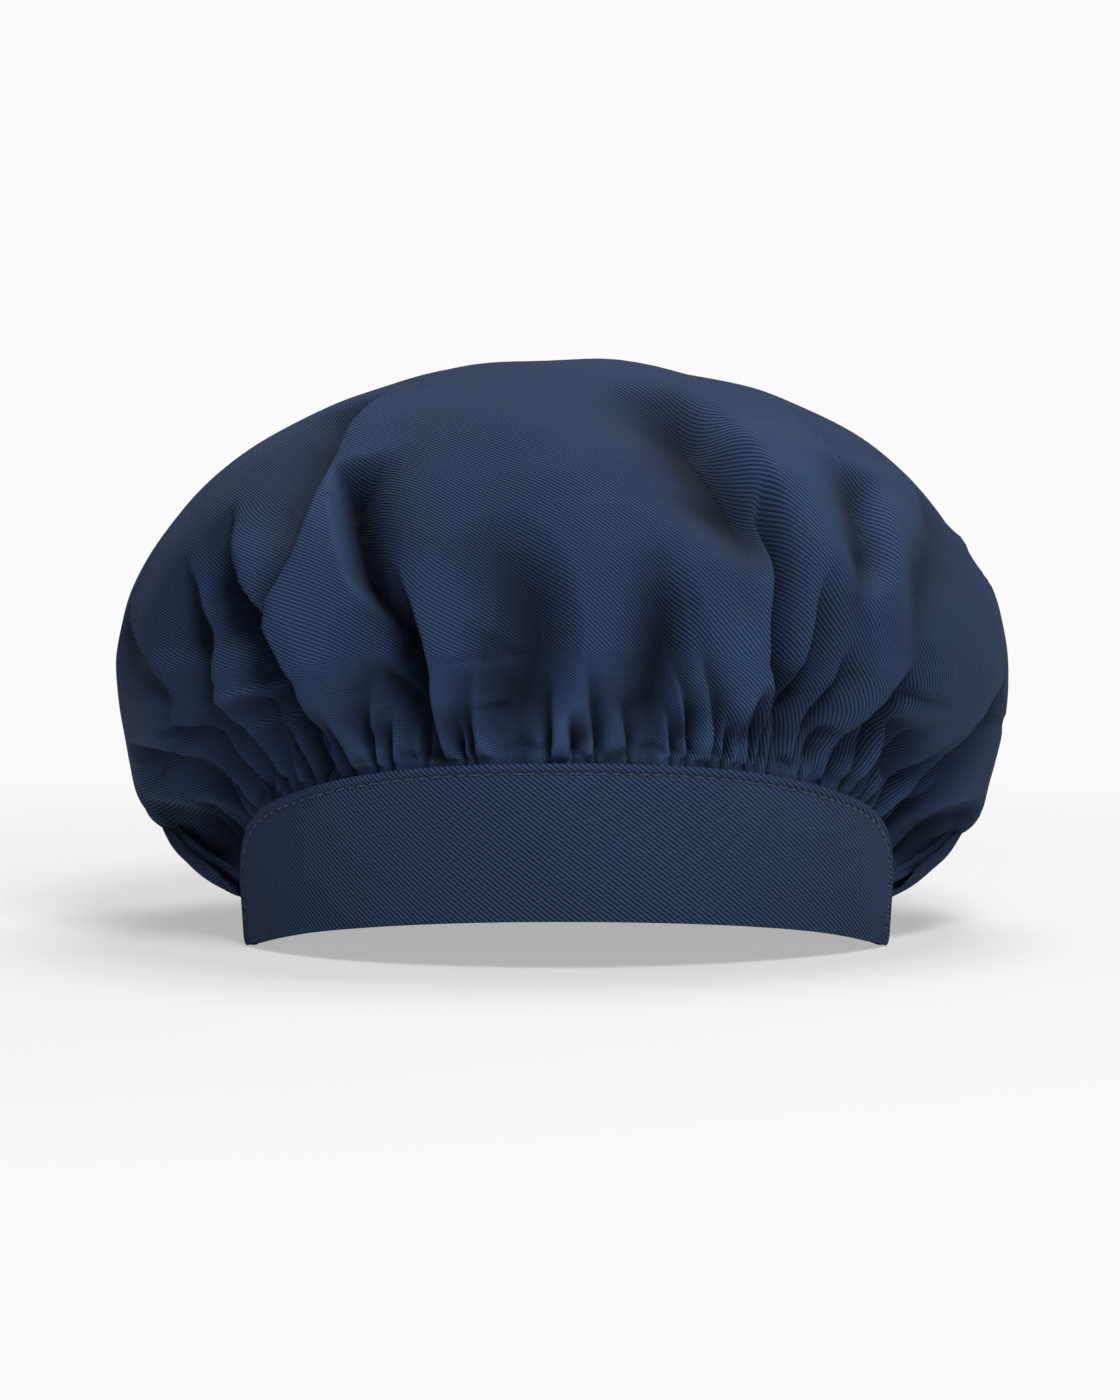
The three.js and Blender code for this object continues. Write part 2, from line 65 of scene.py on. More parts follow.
class Side(Enum):
    """Which side of a fold's valley is the sharp one, as seen from the front."""

    LEFT = -1
    RIGHT = 1


def smooth(x: Array) -> Array:
    """Ease from 0 to 1 as x runs from 0 to 1."""
    k = np.clip(x, 0.0, 1.0)
    return k * k * (3.0 - 2.0 * k)


def unit(vectors: Array) -> Array:
    """Scale each row of an array of vectors to length 1."""
    length = np.linalg.norm(vectors, axis=-1, keepdims=True)
    return vectors / np.maximum(length, 1e-9)


def mix(a: Array, b: Array, share: Array) -> Array:
    """Blend two arrays of vectors by a share for each row."""
    return a * (1.0 - share[..., None]) + b * share[..., None]


def xyz(x: Array, y: Array, z: Array) -> Array:
    """Stack three coordinate arrays as an array of points."""
    return np.stack(np.broadcast_arrays(x, y, z), axis=-1).astype(float)


def bezier(controls: tuple[Array, ...], share: Array) -> Array:
    """Find points of a Bezier curve.

    Args:
        controls: its control points, or arrays of them with a row for each share.
        share: shares of the way along it.

    Returns:
        The points, a row for each share.
    """
    k = share[:, None]
    last = len(controls) - 1
    shares = [math.comb(last, i) * (1 - k) ** (last - i) * k**i for i in range(last + 1)]
    return sum(weight * control for weight, control in zip(shares, controls))


class Route:
    """A polyline that can be asked for points and directions at any length along it."""

    def __init__(self, points: Array) -> None:
        """Measure the polyline.

        Args:
            points: the polyline's points, a row each.
        """
        self.points = np.asarray(points, dtype=float)
        steps = np.linalg.norm(np.diff(self.points, axis=0), axis=1)
        self.lengths = np.concatenate([[0.0], np.cumsum(steps)])
        self.length = float(self.lengths[-1])
        self.middles = (self.lengths[1:] + self.lengths[:-1]) / 2
        self.ahead = unit(np.diff(self.points, axis=0))

    def at(self, length: Array) -> tuple[Array, Array]:
        """Find places on the route.

        Args:
            length: lengths along the route.

        Returns:
            The points, and the unit directions of travel there.
        """
        wanted = np.clip(length, 0.0, self.length)
        columns = range(self.points.shape[1])
        point = np.stack([np.interp(wanted, self.lengths, self.points[:, i]) for i in columns], axis=-1)
        along = np.stack([np.interp(wanted, self.middles, self.ahead[:, i]) for i in columns], axis=-1)
        return point, unit(along)

    def length_where(self, column: int, value: float, rising: bool) -> float:
        """Find the length at which one coordinate first passes a value.

        Args:
            column: the coordinate's index.
            value: the value that it passes.
            rising: whether the coordinate grows along the route.

        Returns:
            The length along the route.
        """
        run = self.points[:, column] if rising else -self.points[:, column]
        goal = value if rising else -value
        i = int(np.argmax(run > goal))
        part = (goal - run[i - 1]) / (run[i] - run[i - 1])
        return float(self.lengths[i - 1] + part * (self.lengths[i] - self.lengths[i - 1]))


@dataclass(frozen=True)
class BandOutline:
    """The band's outline on the cylinder that it is bent round: s runs along it and h up it."""

    radius: float = 95.0
    thickness: float = 2.2
    top_middle: float = 54.7
    shoulder_s: float = 86.0
    shoulder_drop: float = 11.2
    shoulder_power: float = 2.3
    corner: tuple[Place, ...] = ((86.0, 43.5), (104.0, 38.5), (119.5, 32.0), (117.3, 16.0))
    side_foot: Place = (114.4, 2.8)
    foot_control: Place = (113.7, 0.0)
    foot_s: float = 111.0
    arch: float = 12.9
    top_samples: int = 60
    corner_samples: int = 40
    side_samples: int = 10

    def bottom(self, s: Array) -> Array:
        """Height of the bottom edge at s."""
        return self.arch * (1.0 - (s / self.foot_s) ** 2)

    def edge(self) -> Route:
        """Half of the edge, from the middle of the top round the corner to the foot.

        Returns:
            The route in s and h.
        """
        s = np.linspace(0.0, self.shoulder_s, self.top_samples)[:-1]
        drop = self.shoulder_drop * (s / self.shoulder_s) ** self.shoulder_power
        top = np.stack([s, self.top_middle - drop], 1)
        controls = tuple(np.array(place) for place in self.corner)
        corner = bezier(controls, np.linspace(0.0, 1.0, self.corner_samples))
        share = np.linspace(0.0, 1.0, self.side_samples)
        side_foot = np.array(self.side_foot)
        side = corner[-1] + (side_foot - corner[-1]) * share[1:-1, None]
        foot = bezier((side_foot, np.array(self.foot_control), np.array([self.foot_s, 0.0])), share)
        return Route(np.concatenate([top, corner, side, foot]))

    def bend(self, s: Array, h: Array, radius: Array) -> Array:
        """Place points on a cylinder about the opening's centre.

        Args:
            s: length along the band's outer face.
            h: height.
            radius: distance from the axis.

        Returns:
            The points.
        """
        angle = np.asarray(s) / self.radius
        return xyz(radius * np.sin(angle), -radius * np.cos(angle), h)


@dataclass(frozen=True)
class HemPlan:
    """Plan of the elastic hem's middle line, from behind the band's end round to the back."""

    half_width: float = 87.6
    middle_y: float = -8.0
    front_reach: float = 86.2
    back_y: float = 92.0
    squareness: float = 2.4
    front_y: float = -41.0
    thickness: float = 3.0
    height: float = 8.5
    front_samples: int = 40
    back_samples: int = 160

    def half(self) -> Route:
        """The right half of the plan, from its front end to the middle of the back.

        Returns:
            The route in x and y.
        """
        start = math.asin((self.middle_y - self.front_y) / self.front_reach)
        angle = np.linspace(start, 0.0, self.front_samples)[:-1]
        y = self.middle_y - self.front_reach * np.sin(angle)
        front = np.stack([self.half_width * np.cos(angle), y], 1)
        angle = np.linspace(0.0, math.pi / 2, self.back_samples)
        power = 2.0 / self.squareness
        reach = self.back_y - self.middle_y
        x = self.half_width * np.clip(np.cos(angle), 0.0, 1.0) ** power
        back = np.stack([x, self.middle_y + reach * np.sin(angle) ** power], 1)
        return Route(np.concatenate([front, back]))


@dataclass(frozen=True)
class CrownForm:
    """Smooth form of the crown, without its folds.

    A place on it is a turn, the meridian in degrees from the front, negative to the left, and a
    rise, from 0 at the seam to 1 at the top.
    """

    outline: BandOutline
    hem: HemPlan
    height: float = 159.8
    half_width: float = 125.4
    middle_x: float = -1.0
    middle_y: float = 12.0
    front_reach: float = 107.0
    back_reach: float = 122.0
    widest_z: float = 72.0
    front_lift: float = 12.0
    back_drop: float = 8.0
    widest_rise: float = 0.38
    fullness: float = 0.42
    seam_end_h: float = 11.0
    seam_offset: float = 1.2
    seam_gap: float = 0.8
    seam_turn: float = 100.0
    front_spread: float = 11.0
    allowance: float = 6.0
    cloth: float = 1.3
    join_over: float = 0.12
    join_behind: float = 4.0
    hem_gap: float = 0.4
    hem_lift: float = 0.45
    leave_edge: float = 0.85
    leave_out: float = 0.30
    side_from: float = 60.0
    side_span: float = 40.0
    side_loss: float = 0.45
    side_drop: float = 0.60
    side_lift: float = 0.35

    def band_end(self, seam_length: float) -> Array:
        """Where the seam leaves the band's side edge."""
        point, along = self.outline.edge().at(np.array([seam_length]))
        s = point[:, 0] - along[:, 1] * self.seam_offset
        radius = self.outline.radius - self.outline.thickness - self.seam_gap
        return self.outline.bend(s, np.array([self.seam_end_h]), radius)[0]

    def hem_join(self, half: Route, join: float) -> Array:
        """Where the seam comes onto the hem."""
        plan, along = half.at(np.array([join]))
        out = np.array([along[0, 1], -along[0, 0], 0.0])
        return np.array([plan[0, 0], plan[0, 1], self.seam_end_h]) + out * self.cloth / 2

    def seam(self, turn: Array) -> tuple[Array, Array, Array, Array]:
        """Where the cloth leaves its seam.

        Args:
            turn: meridians in degrees.

        Returns:
            The starts, the unit directions in which the cloth sets off, the vectors back to the
            end of the hidden seam allowance, and the unit directions inwards through the cloth.
        """
        side = np.where(turn < 0, -1.0, 1.0)
        size = np.abs(turn)
        spread = size + self.front_spread * np.sin(math.pi * np.minimum(size / self.seam_turn, 1.0))
        edge = self.outline.edge()
        seam_length = edge.length_where(1, self.seam_end_h, rising=False)
        point, along = edge.at(seam_length * np.minimum(spread / self.seam_turn, 1.0))
        out_s, out_h = -along[:, 1], along[:, 0]
        s = point[:, 0] + out_s * self.seam_offset
        h = point[:, 1] + out_h * self.seam_offset
        angle = s / self.outline.radius
        nothing = np.zeros_like(angle)
        tangent = xyz(np.cos(angle), np.sin(angle), nothing)
        radial = xyz(np.sin(angle), -np.cos(angle), nothing)
        upright = np.array([0.0, 0.0, 1.0])
        sideways = smooth((spread - self.side_from) / self.side_span)
        start = self.outline.bend(s, h, self.outline.radius - self.outline.thickness - self.seam_gap)
        across = out_s * self.leave_edge * (1 - self.side_loss * sideways)
        outwards = self.leave_out * (1 + sideways)
        upwards = out_h * self.leave_edge * (1 - self.side_drop * sideways) + self.side_lift * sideways
        leave = unit(tangent * across[:, None] + radial * outwards[:, None] + upright * upwards[:, None])
        tuck = -self.allowance * (tangent * out_s[:, None] + upright * out_h[:, None])
        inward = -radial

        half = self.hem.half()
        foot_y = -self.outline.radius * math.cos(self.outline.side_foot[0] / self.outline.radius)
        join = half.length_where(1, foot_y + self.join_behind, rising=True)
        share = np.maximum(spread - self.seam_turn, 0.0) / (180.0 - self.seam_turn)
        plan, plan_along = half.at(join + (half.length - join) * share)
        hem_out = xyz(plan_along[:, 1], -plan_along[:, 0], nothing)
        hem_start = xyz(plan[:, 0], plan[:, 1], nothing + self.seam_end_h) + hem_out * self.cloth / 2
        behind = spread > self.seam_turn
        apart = self.band_end(seam_length) - self.hem_join(half, join)
        blend = smooth(share / self.join_over)
        carried = hem_start + apart * (1.0 - blend)[:, None]
        start = np.where(behind[:, None], carried, start)
        leave = mix(leave, unit(hem_out + upright * self.hem_lift), blend)
        down = np.array([0.0, 0.0, self.hem.height - self.hem_gap - self.seam_end_h])
        tuck = mix(tuck, np.broadcast_to(down, tuck.shape), smooth(share / (self.join_over / 2)))
        inward = unit(mix(inward, -hem_out, blend))
        mirror = np.stack([side, np.ones_like(side), np.ones_like(side)], axis=-1)
        return start * mirror, unit(leave) * mirror, tuck * mirror, inward * mirror

    def widest(self, turn: Array) -> Array:
        """Widest point of the crown on each meridian."""
        forward = np.cos(turn * DEG)
        reach = np.where(forward > 0, self.front_reach, self.back_reach)
        lift = self.front_lift * np.maximum(forward, 0) ** 2
        drop = self.back_drop * np.maximum(-forward, 0)
        x = self.middle_x + self.half_width * np.sin(turn * DEG)
        return xyz(x, self.middle_y - reach * forward, self.widest_z + lift - drop)

    def surface(self, turn: Array, rise: Array) -> Array:
        """Points of the form.

        Args:
            turn: meridians in degrees.
            rise: rises, one for each meridian.

        Returns:
            The points.
        """
        start, leave, _, _ = self.seam(turn)
        widest = self.widest(turn)
        handle = np.linalg.norm(widest - start, axis=1, keepdims=True) * self.fullness
        second = start + leave * handle
        third = widest - np.array([0.0, 0.0, 1.0]) * handle
        low = bezier((start, second, third, widest), np.clip(rise / self.widest_rise, 0.0, 1.0))
        angle = np.clip((rise - self.widest_rise) / (1 - self.widest_rise), 0.0, 1.0) * math.pi / 2
        middle = np.array([self.middle_x, self.middle_y])
        flat = middle + (widest[:, :2] - middle) * np.cos(angle)[:, None]
        z = widest[:, 2] + (self.height - widest[:, 2]) * np.sin(angle)
        high = xyz(flat[:, 0], flat[:, 1], z)
        return np.where((rise <= self.widest_rise)[:, None], low, high)


@dataclass(frozen=True)
class Fold:
    """One valley of the crown, laid through places of turn and rise from its foot to its head.

    soft and sharp are the widths of its two walls, depth its deepest point and lean how far the
    cloth on the sharp side hangs over it, all in millimetres. shade is how strongly painted shade
    darkens the cloth's colour along its valley.
    """

    places: tuple[Place, ...]
    soft: float
    sharp: float
    depth: float
    lean: float
    shade: float
    side: Side
    rooted: float = 0.45
    full_at: float = 0.35
    fade_from: float = 0.70
    kept_at: float | None = None

    @property
    def home(self) -> float:
        """The turn of the mesh's column that follows the fold, in the order of the folds' lines."""
        if self.kept_at is not None:
            return self.kept_at
        turns = self.route().turn
        return float(turns[: len(turns) * 2 // 3].mean())

    def strength(self, part: Array) -> Array:
        """Share of the full depth at shares of the way from foot to head."""
        grown = self.rooted + (1 - self.rooted) * smooth(part / self.full_at)
        return grown * (1 - smooth((part - self.fade_from) / (1 - self.fade_from)))

    def route(self, samples: int = 80) -> "ValleyRoute":
        """Lay the valley line through its places.

        Args:
            samples: how many points the line has.

        Returns:
            The line.
        """
        places = np.array(self.places, dtype=float)
        turns, rises = places[:, 0], places[:, 1]
        slopes = np.gradient(turns, rises)
        wanted = np.linspace(rises[0], rises[-1], samples)
        i = np.clip(np.searchsorted(rises, wanted, side="right") - 1, 0, len(rises) - 2)
        span = rises[i + 1] - rises[i]
        k = (wanted - rises[i]) / span
        laid = (2 * k**3 - 3 * k**2 + 1) * turns[i] + (k**3 - 2 * k**2 + k) * span * slopes[i]
        laid = laid + (3 * k**2 - 2 * k**3) * turns[i + 1] + (k**3 - k**2) * span * slopes[i + 1]
        steps = np.hypot(np.diff(laid) * ValleyRoute.DEGREE, np.diff(wanted) * ValleyRoute.RISE)
        way = np.concatenate([[0.0], np.cumsum(steps)])
        return ValleyRoute(wanted, laid, np.gradient(laid, wanted), way / way[-1])


@dataclass(frozen=True)
class ValleyRoute:
    """A valley line as a table: turns, slopes and shares of the way, by rise."""

    DEGREE = 1.9
    RISE = 200.0

    rise: Array
    turn: Array
    slope: Array
    way: Array

    def at(self, rise: Array) -> tuple[Array, Array, Array]:
        """Turn, slope and share of the way at rises."""
        return tuple(np.interp(rise, self.rise, column) for column in (self.turn, self.slope, self.way))


@dataclass(frozen=True)
class Ground:
    """Places on the smooth form, with the lengths and directions of a turn and a rise there."""

    turn: Array
    rise: Array
    wide: Array
    tall: Array
    right: Array
    up: Array

    TURN_STEP = 4.0
    RISE_STEP = 0.10
    LEAST_WIDE = 0.3
    LEAST_TALL = 60.0

    @classmethod
    def of(cls, form: CrownForm, turn: Array, rise: Array) -> "Ground":
        """Measure the form at places.

        Args:
            form: the crown's smooth form.
            turn: meridians in degrees.
            rise: rises, one for each meridian.

        Returns:
            The places.
        """
        step = cls.TURN_STEP
        across = (form.surface(turn + step, rise) - form.surface(turn - step, rise)) / (2 * step)
        low, high = np.maximum(rise - cls.RISE_STEP, 0.0), np.minimum(rise + cls.RISE_STEP, 1.0)
        along = form.surface(turn, high) - form.surface(turn, low)
        wide = np.maximum(np.linalg.norm(across, axis=1), cls.LEAST_WIDE)
        tall = np.maximum(np.linalg.norm(along, axis=1) / (high - low), cls.LEAST_TALL)
        return cls(turn, rise, wide, tall, unit(across), unit(along))

    def pick(self, chosen: Array) -> "Ground":
        """The chosen places alone."""
        columns = (self.turn, self.rise, self.wide, self.tall, self.right, self.up)
        return Ground(*(column[chosen] for column in columns))


@dataclass(frozen=True)
class Nearest:
    """Where points lie beside a fold's line."""

    part: Array
    away: Array
    across: Array
    before: Array

    MOST_BACK = 0.07

    @classmethod
    def find(cls, route: ValleyRoute, ground: Ground) -> "Nearest":
        """Measure places against a line.

        Args:
            route: the valley line.
            ground: places on the smooth form.

        Returns:
            The shares of the way from foot to head, the distances to the right of the line, the
            unit directions to the right, and how far places lie before the foot.
        """
        turn, slope, _ = route.at(ground.rise)
        gap = cls.apart(ground.turn, turn) * ground.wide
        lean = slope * ground.wide / ground.tall
        back = np.clip(lean * gap / (1 + lean**2) / ground.tall, -cls.MOST_BACK, cls.MOST_BACK)
        rise = ground.rise + back
        turn, slope, part = route.at(rise)
        lean = slope * ground.wide / ground.tall
        gap = cls.apart(ground.turn, turn) * ground.wide
        scale = np.sqrt(1 + lean**2)
        away = (gap + lean * back * ground.tall) / scale
        across = (ground.right - ground.up * lean[:, None]) / scale[:, None]
        before = np.maximum(route.rise[0] - rise, 0.0) * ground.tall
        return cls(part, away, across, before)

    @staticmethod
    def apart(first: Array, second: Array) -> Array:
        """Degrees from the second turn to the first, the short way round."""
        return (first - second + 180.0) % 360.0 - 180.0


@dataclass(frozen=True)
class FoldWall:
    """The shape that all folds share across their lines, as widths in millimetres and shares.

    A fold opens from its foot up to open_by of its way. Its soft wall falls gently, and its sharp
    wall drops from a low ridge that catches the light and leans over the valley. The shades set the
    painted shade over the valley, and ridge_light a painted highlight on the ridge.
    """

    open_by: float = 0.40
    soft_foot: float = 0.34
    sharp_foot: float = 0.70
    foot_fade: float = 7.0
    soft_power: float = 1.8
    sharp_width: float = 1.6
    swell_from: float = 3.0
    swell_out: float = 2.0
    swell_width: float = 4.0
    ridge: float = 0.09
    ridge_light: float = 0.28
    lean_edge: float = 1.5
    lean_fade: float = 3.0
    lean_fade_out: float = 4.0
    soft_shade: float = 0.95
    sharp_shade: float = 1.1
    shade_power: float = 0.6


FOLD_WALL = FoldWall()


@dataclass
class Gathering:
    """All the folds of the crown, how far they move each point of its form, and its painted shade."""

    form: CrownForm
    folds: list[Fold]
    deepest: float = 22.0
    seam_depth: float = 6.0
    free_rise: float = 0.20
    seam_lean: float = 1.5
    lean_limit: float = 6.0
    reach: float = 40.0
    crowding_depth: float = 3.4
    anchor_depth: float = 7.0
    release: float = 0.12
    closest: float = 0.35
    # The most that the painted shade may darken the cloth's colour.
    darkest: float = 0.95
    trial_step: float = 0.1
    crowd_offset: float = 0.5
    crowd_width: float = 1.5
    crowd_depth: float = 9.0
    most_crowd: float = 1.2
    back_blend: float = 16.0
    held_turns: tuple[float, ...] = (-180.0, -110.0, 110.0, 180.0)
    deep_within: float = 100.0

    def near(self, route: ValleyRoute, ground: Ground) -> Array:
        """Indices of the places that a fold can reach."""
        turn, slope, _ = route.at(ground.rise)
        lean = slope * ground.wide / ground.tall
        gap = Nearest.apart(ground.turn, turn) * ground.wide / np.sqrt(1 + lean**2)
        beyond = np.maximum(route.rise[0] - ground.rise, ground.rise - route.rise[-1]) * ground.tall
        return np.nonzero((np.abs(gap) < self.reach) & (beyond < self.reach / 2))[0]

    def move(self, ground: Ground, normals: Array) -> tuple[Array, Array]:
        """Work out how the folds move places of the form, and the painted shade of their valleys.

        Args:
            ground: the places.
            normals: the form's outward unit normals there.

        Returns:
            A movement and a painted shade for each place, which darkens the cloth's colour in the
            valleys and, where negative, is a painted highlight on the ridges. The seam holds the
            cloth and leaves the folds less room.
        """
        height = np.zeros(len(ground.turn))
        light = np.ones(len(ground.turn))
        sideways = np.zeros_like(normals)
        for fold in self.folds:
            route = fold.route()
            chosen = self.near(route, ground)
            if len(chosen) == 0:
                continue
            beside = Nearest.find(route, ground.pick(chosen))
            lift, lateral, shade = self.profile(fold, beside)
            height[chosen] += lift
            sideways[chosen] += lateral
            # Painted shade: each fold darkens the colour in its valley, and a negative shade is a painted
            # highlight on its ridge.
            light[chosen] *= 1.0 - shade
        freedom = smooth(ground.rise / self.free_rise)
        room = self.seam_depth + (self.deepest - self.seam_depth) * freedom
        height = np.maximum(height, 0.0) + room * np.tanh(np.minimum(height, 0.0) / room)
        limit = self.seam_lean + (self.lean_limit - self.seam_lean) * freedom
        length = np.linalg.norm(sideways, axis=1)
        share = np.tanh(length / limit) * limit / np.maximum(length, 1e-6)
        moved = normals * height[:, None] + sideways * share[:, None]
        return moved, np.minimum(1.0 - light, self.darkest)

    def columns(self, count: int, back_share: float, crowding: float) -> Array:
        """Homes of the mesh's columns, in degrees, crowded together at the folds.

        Args:
            count: how many columns there are.
            back_share: how close they lie behind, as a share of how close they lie in front.
            crowding: how much closer they lie at a strong fold.

        Returns:
            A home for each column, from the back round the left and the front.
        """
        trial = np.arange(-180.0, 180.0, self.trial_step)
        crowd = np.zeros_like(trial)
        for fold in self.folds:
            if fold.depth < self.crowding_depth:
                continue
            home = fold.home if fold.depth >= self.anchor_depth else fold.places[0][0]
            offset = Nearest.apart(trial, home) - self.crowd_offset * fold.side.value
            crowd += min(1.0, fold.depth / self.crowd_depth) * np.exp(-((offset / self.crowd_width) ** 2))
        behind = smooth((np.abs(trial) - self.form.seam_turn) / self.back_blend)
        density = (1.0 + crowding * np.minimum(crowd, self.most_crowd)) * (1.0 - (1.0 - back_share) * behind)
        total = np.concatenate([[0.0], np.cumsum(density)])
        return np.interp(np.arange(count) / count * total[-1], total, np.append(trial, 180.0))

    def warp(self, homes: Array, rises: Array) -> Array:
        """Bend the mesh's columns so that they run along the deep folds.

        Args:
            homes: the columns' homes in degrees.
            rises: the rises of the rings.

        Returns:
            The turns in degrees, a row for each ring.
        """
        deep = [fold for fold in self.folds if fold.depth >= self.anchor_depth]
        deep = [fold for fold in deep if abs(fold.home) < self.deep_within]
        deep.sort(key=lambda fold: fold.places[0][1] - fold.places[-1][1])
        knots = list(self.held_turns)
        tracks = [np.full(len(rises), knot) for knot in knots]
        for fold in deep:
            route = fold.route()
            drawn = np.array([np.interp(fold.home, knots, row) for row in np.stack(tracks, axis=1)])
            bend = route.at(rises)[0] - drawn
            low = float(np.interp(route.rise[0], rises, bend))
            high = float(np.interp(route.rise[-1], rises, bend))
            below = np.maximum(route.rise[0] - rises, 0.0)
            above = np.maximum(rises - route.rise[-1], 0.0)
            bend = np.where(below > 0, low * np.exp(-((below / self.release) ** 2)), bend)
            bend = np.where(above > 0, high * np.exp(-((above / self.release) ** 2)), bend)
            place = int(np.searchsorted(knots, fold.home))
            knots.insert(place, fold.home)
            tracks.insert(place, drawn + bend)
        track = np.stack(tracks, axis=1)
        gaps = self.closest * np.diff(knots)
        middle = int(np.argmin(np.abs(knots)))
        for i in range(middle + 1, len(knots)):
            track[:, i] = np.maximum(track[:, i], track[:, i - 1] + gaps[i - 1])
        for i in range(middle - 1, -1, -1):
            track[:, i] = np.minimum(track[:, i], track[:, i + 1] - gaps[i])
        return np.stack([np.interp(homes, knots, row) for row in track])

    @staticmethod
    def profile(fold: Fold, beside: Nearest) -> tuple[Array, Array, Array]:
        """Height, sideways movement and painted shade that one fold gives to the points near it.

        Args:
            fold: the fold.
            beside: where the points lie beside its line.

        Returns:
            The heights, negative in the valley, the sideways movements and the painted shades,
            negative where a painted highlight lightens the ridge.
        """
        wall = FOLD_WALL
        distance = np.abs(beside.away)
        sharp_side = beside.away * fold.side.value > 0
        opened = smooth(beside.part / wall.open_by)
        soft = fold.soft * (wall.soft_foot + (1 - wall.soft_foot) * opened)
        sharp = fold.sharp * (wall.sharp_foot + (1 - wall.sharp_foot) * opened)
        strength = fold.strength(beside.part) * np.exp(-((beside.before / wall.foot_fade) ** 2))
        soft_wall = np.exp(-((distance / soft) ** wall.soft_power))
        sharp_wall = 1.0 - smooth(distance / (wall.sharp_width * sharp))
        valley = -fold.depth * strength * np.where(sharp_side, sharp_wall, soft_wall)
        swell_offset = distance - wall.swell_from - wall.swell_out * sharp
        swell = np.exp(-((swell_offset / (wall.swell_width + wall.swell_out * sharp)) ** 2))
        ridge = np.where(sharp_side, wall.ridge * fold.depth * strength * swell, 0.0)
        edge = wall.lean_edge * sharp
        past = np.maximum(distance - edge, 0.0) / (wall.lean_fade + wall.lean_fade_out * sharp)
        over = np.where(sharp_side, smooth(distance / edge) * np.exp(-(past**2)), 0.0)
        lean = -fold.side.value * fold.lean * strength * over
        # Painted shade over the valley, widest on the soft wall.
        soft_shade = np.exp(-((distance / (wall.soft_shade * soft)) ** 2.0))
        sharp_shade = 1.0 - smooth(distance / (wall.sharp_shade * sharp))
        shade = fold.shade * strength**wall.shade_power * np.where(sharp_side, sharp_shade, soft_shade)
        # Painted highlight on the ridge beside the sharp wall.
        shade = shade - np.where(sharp_side, wall.ridge_light * fold.shade * strength * swell, 0.0)
        return valley + ridge, beside.across * lean[:, None], shade


L, R = Side.LEFT, Side.RIGHT
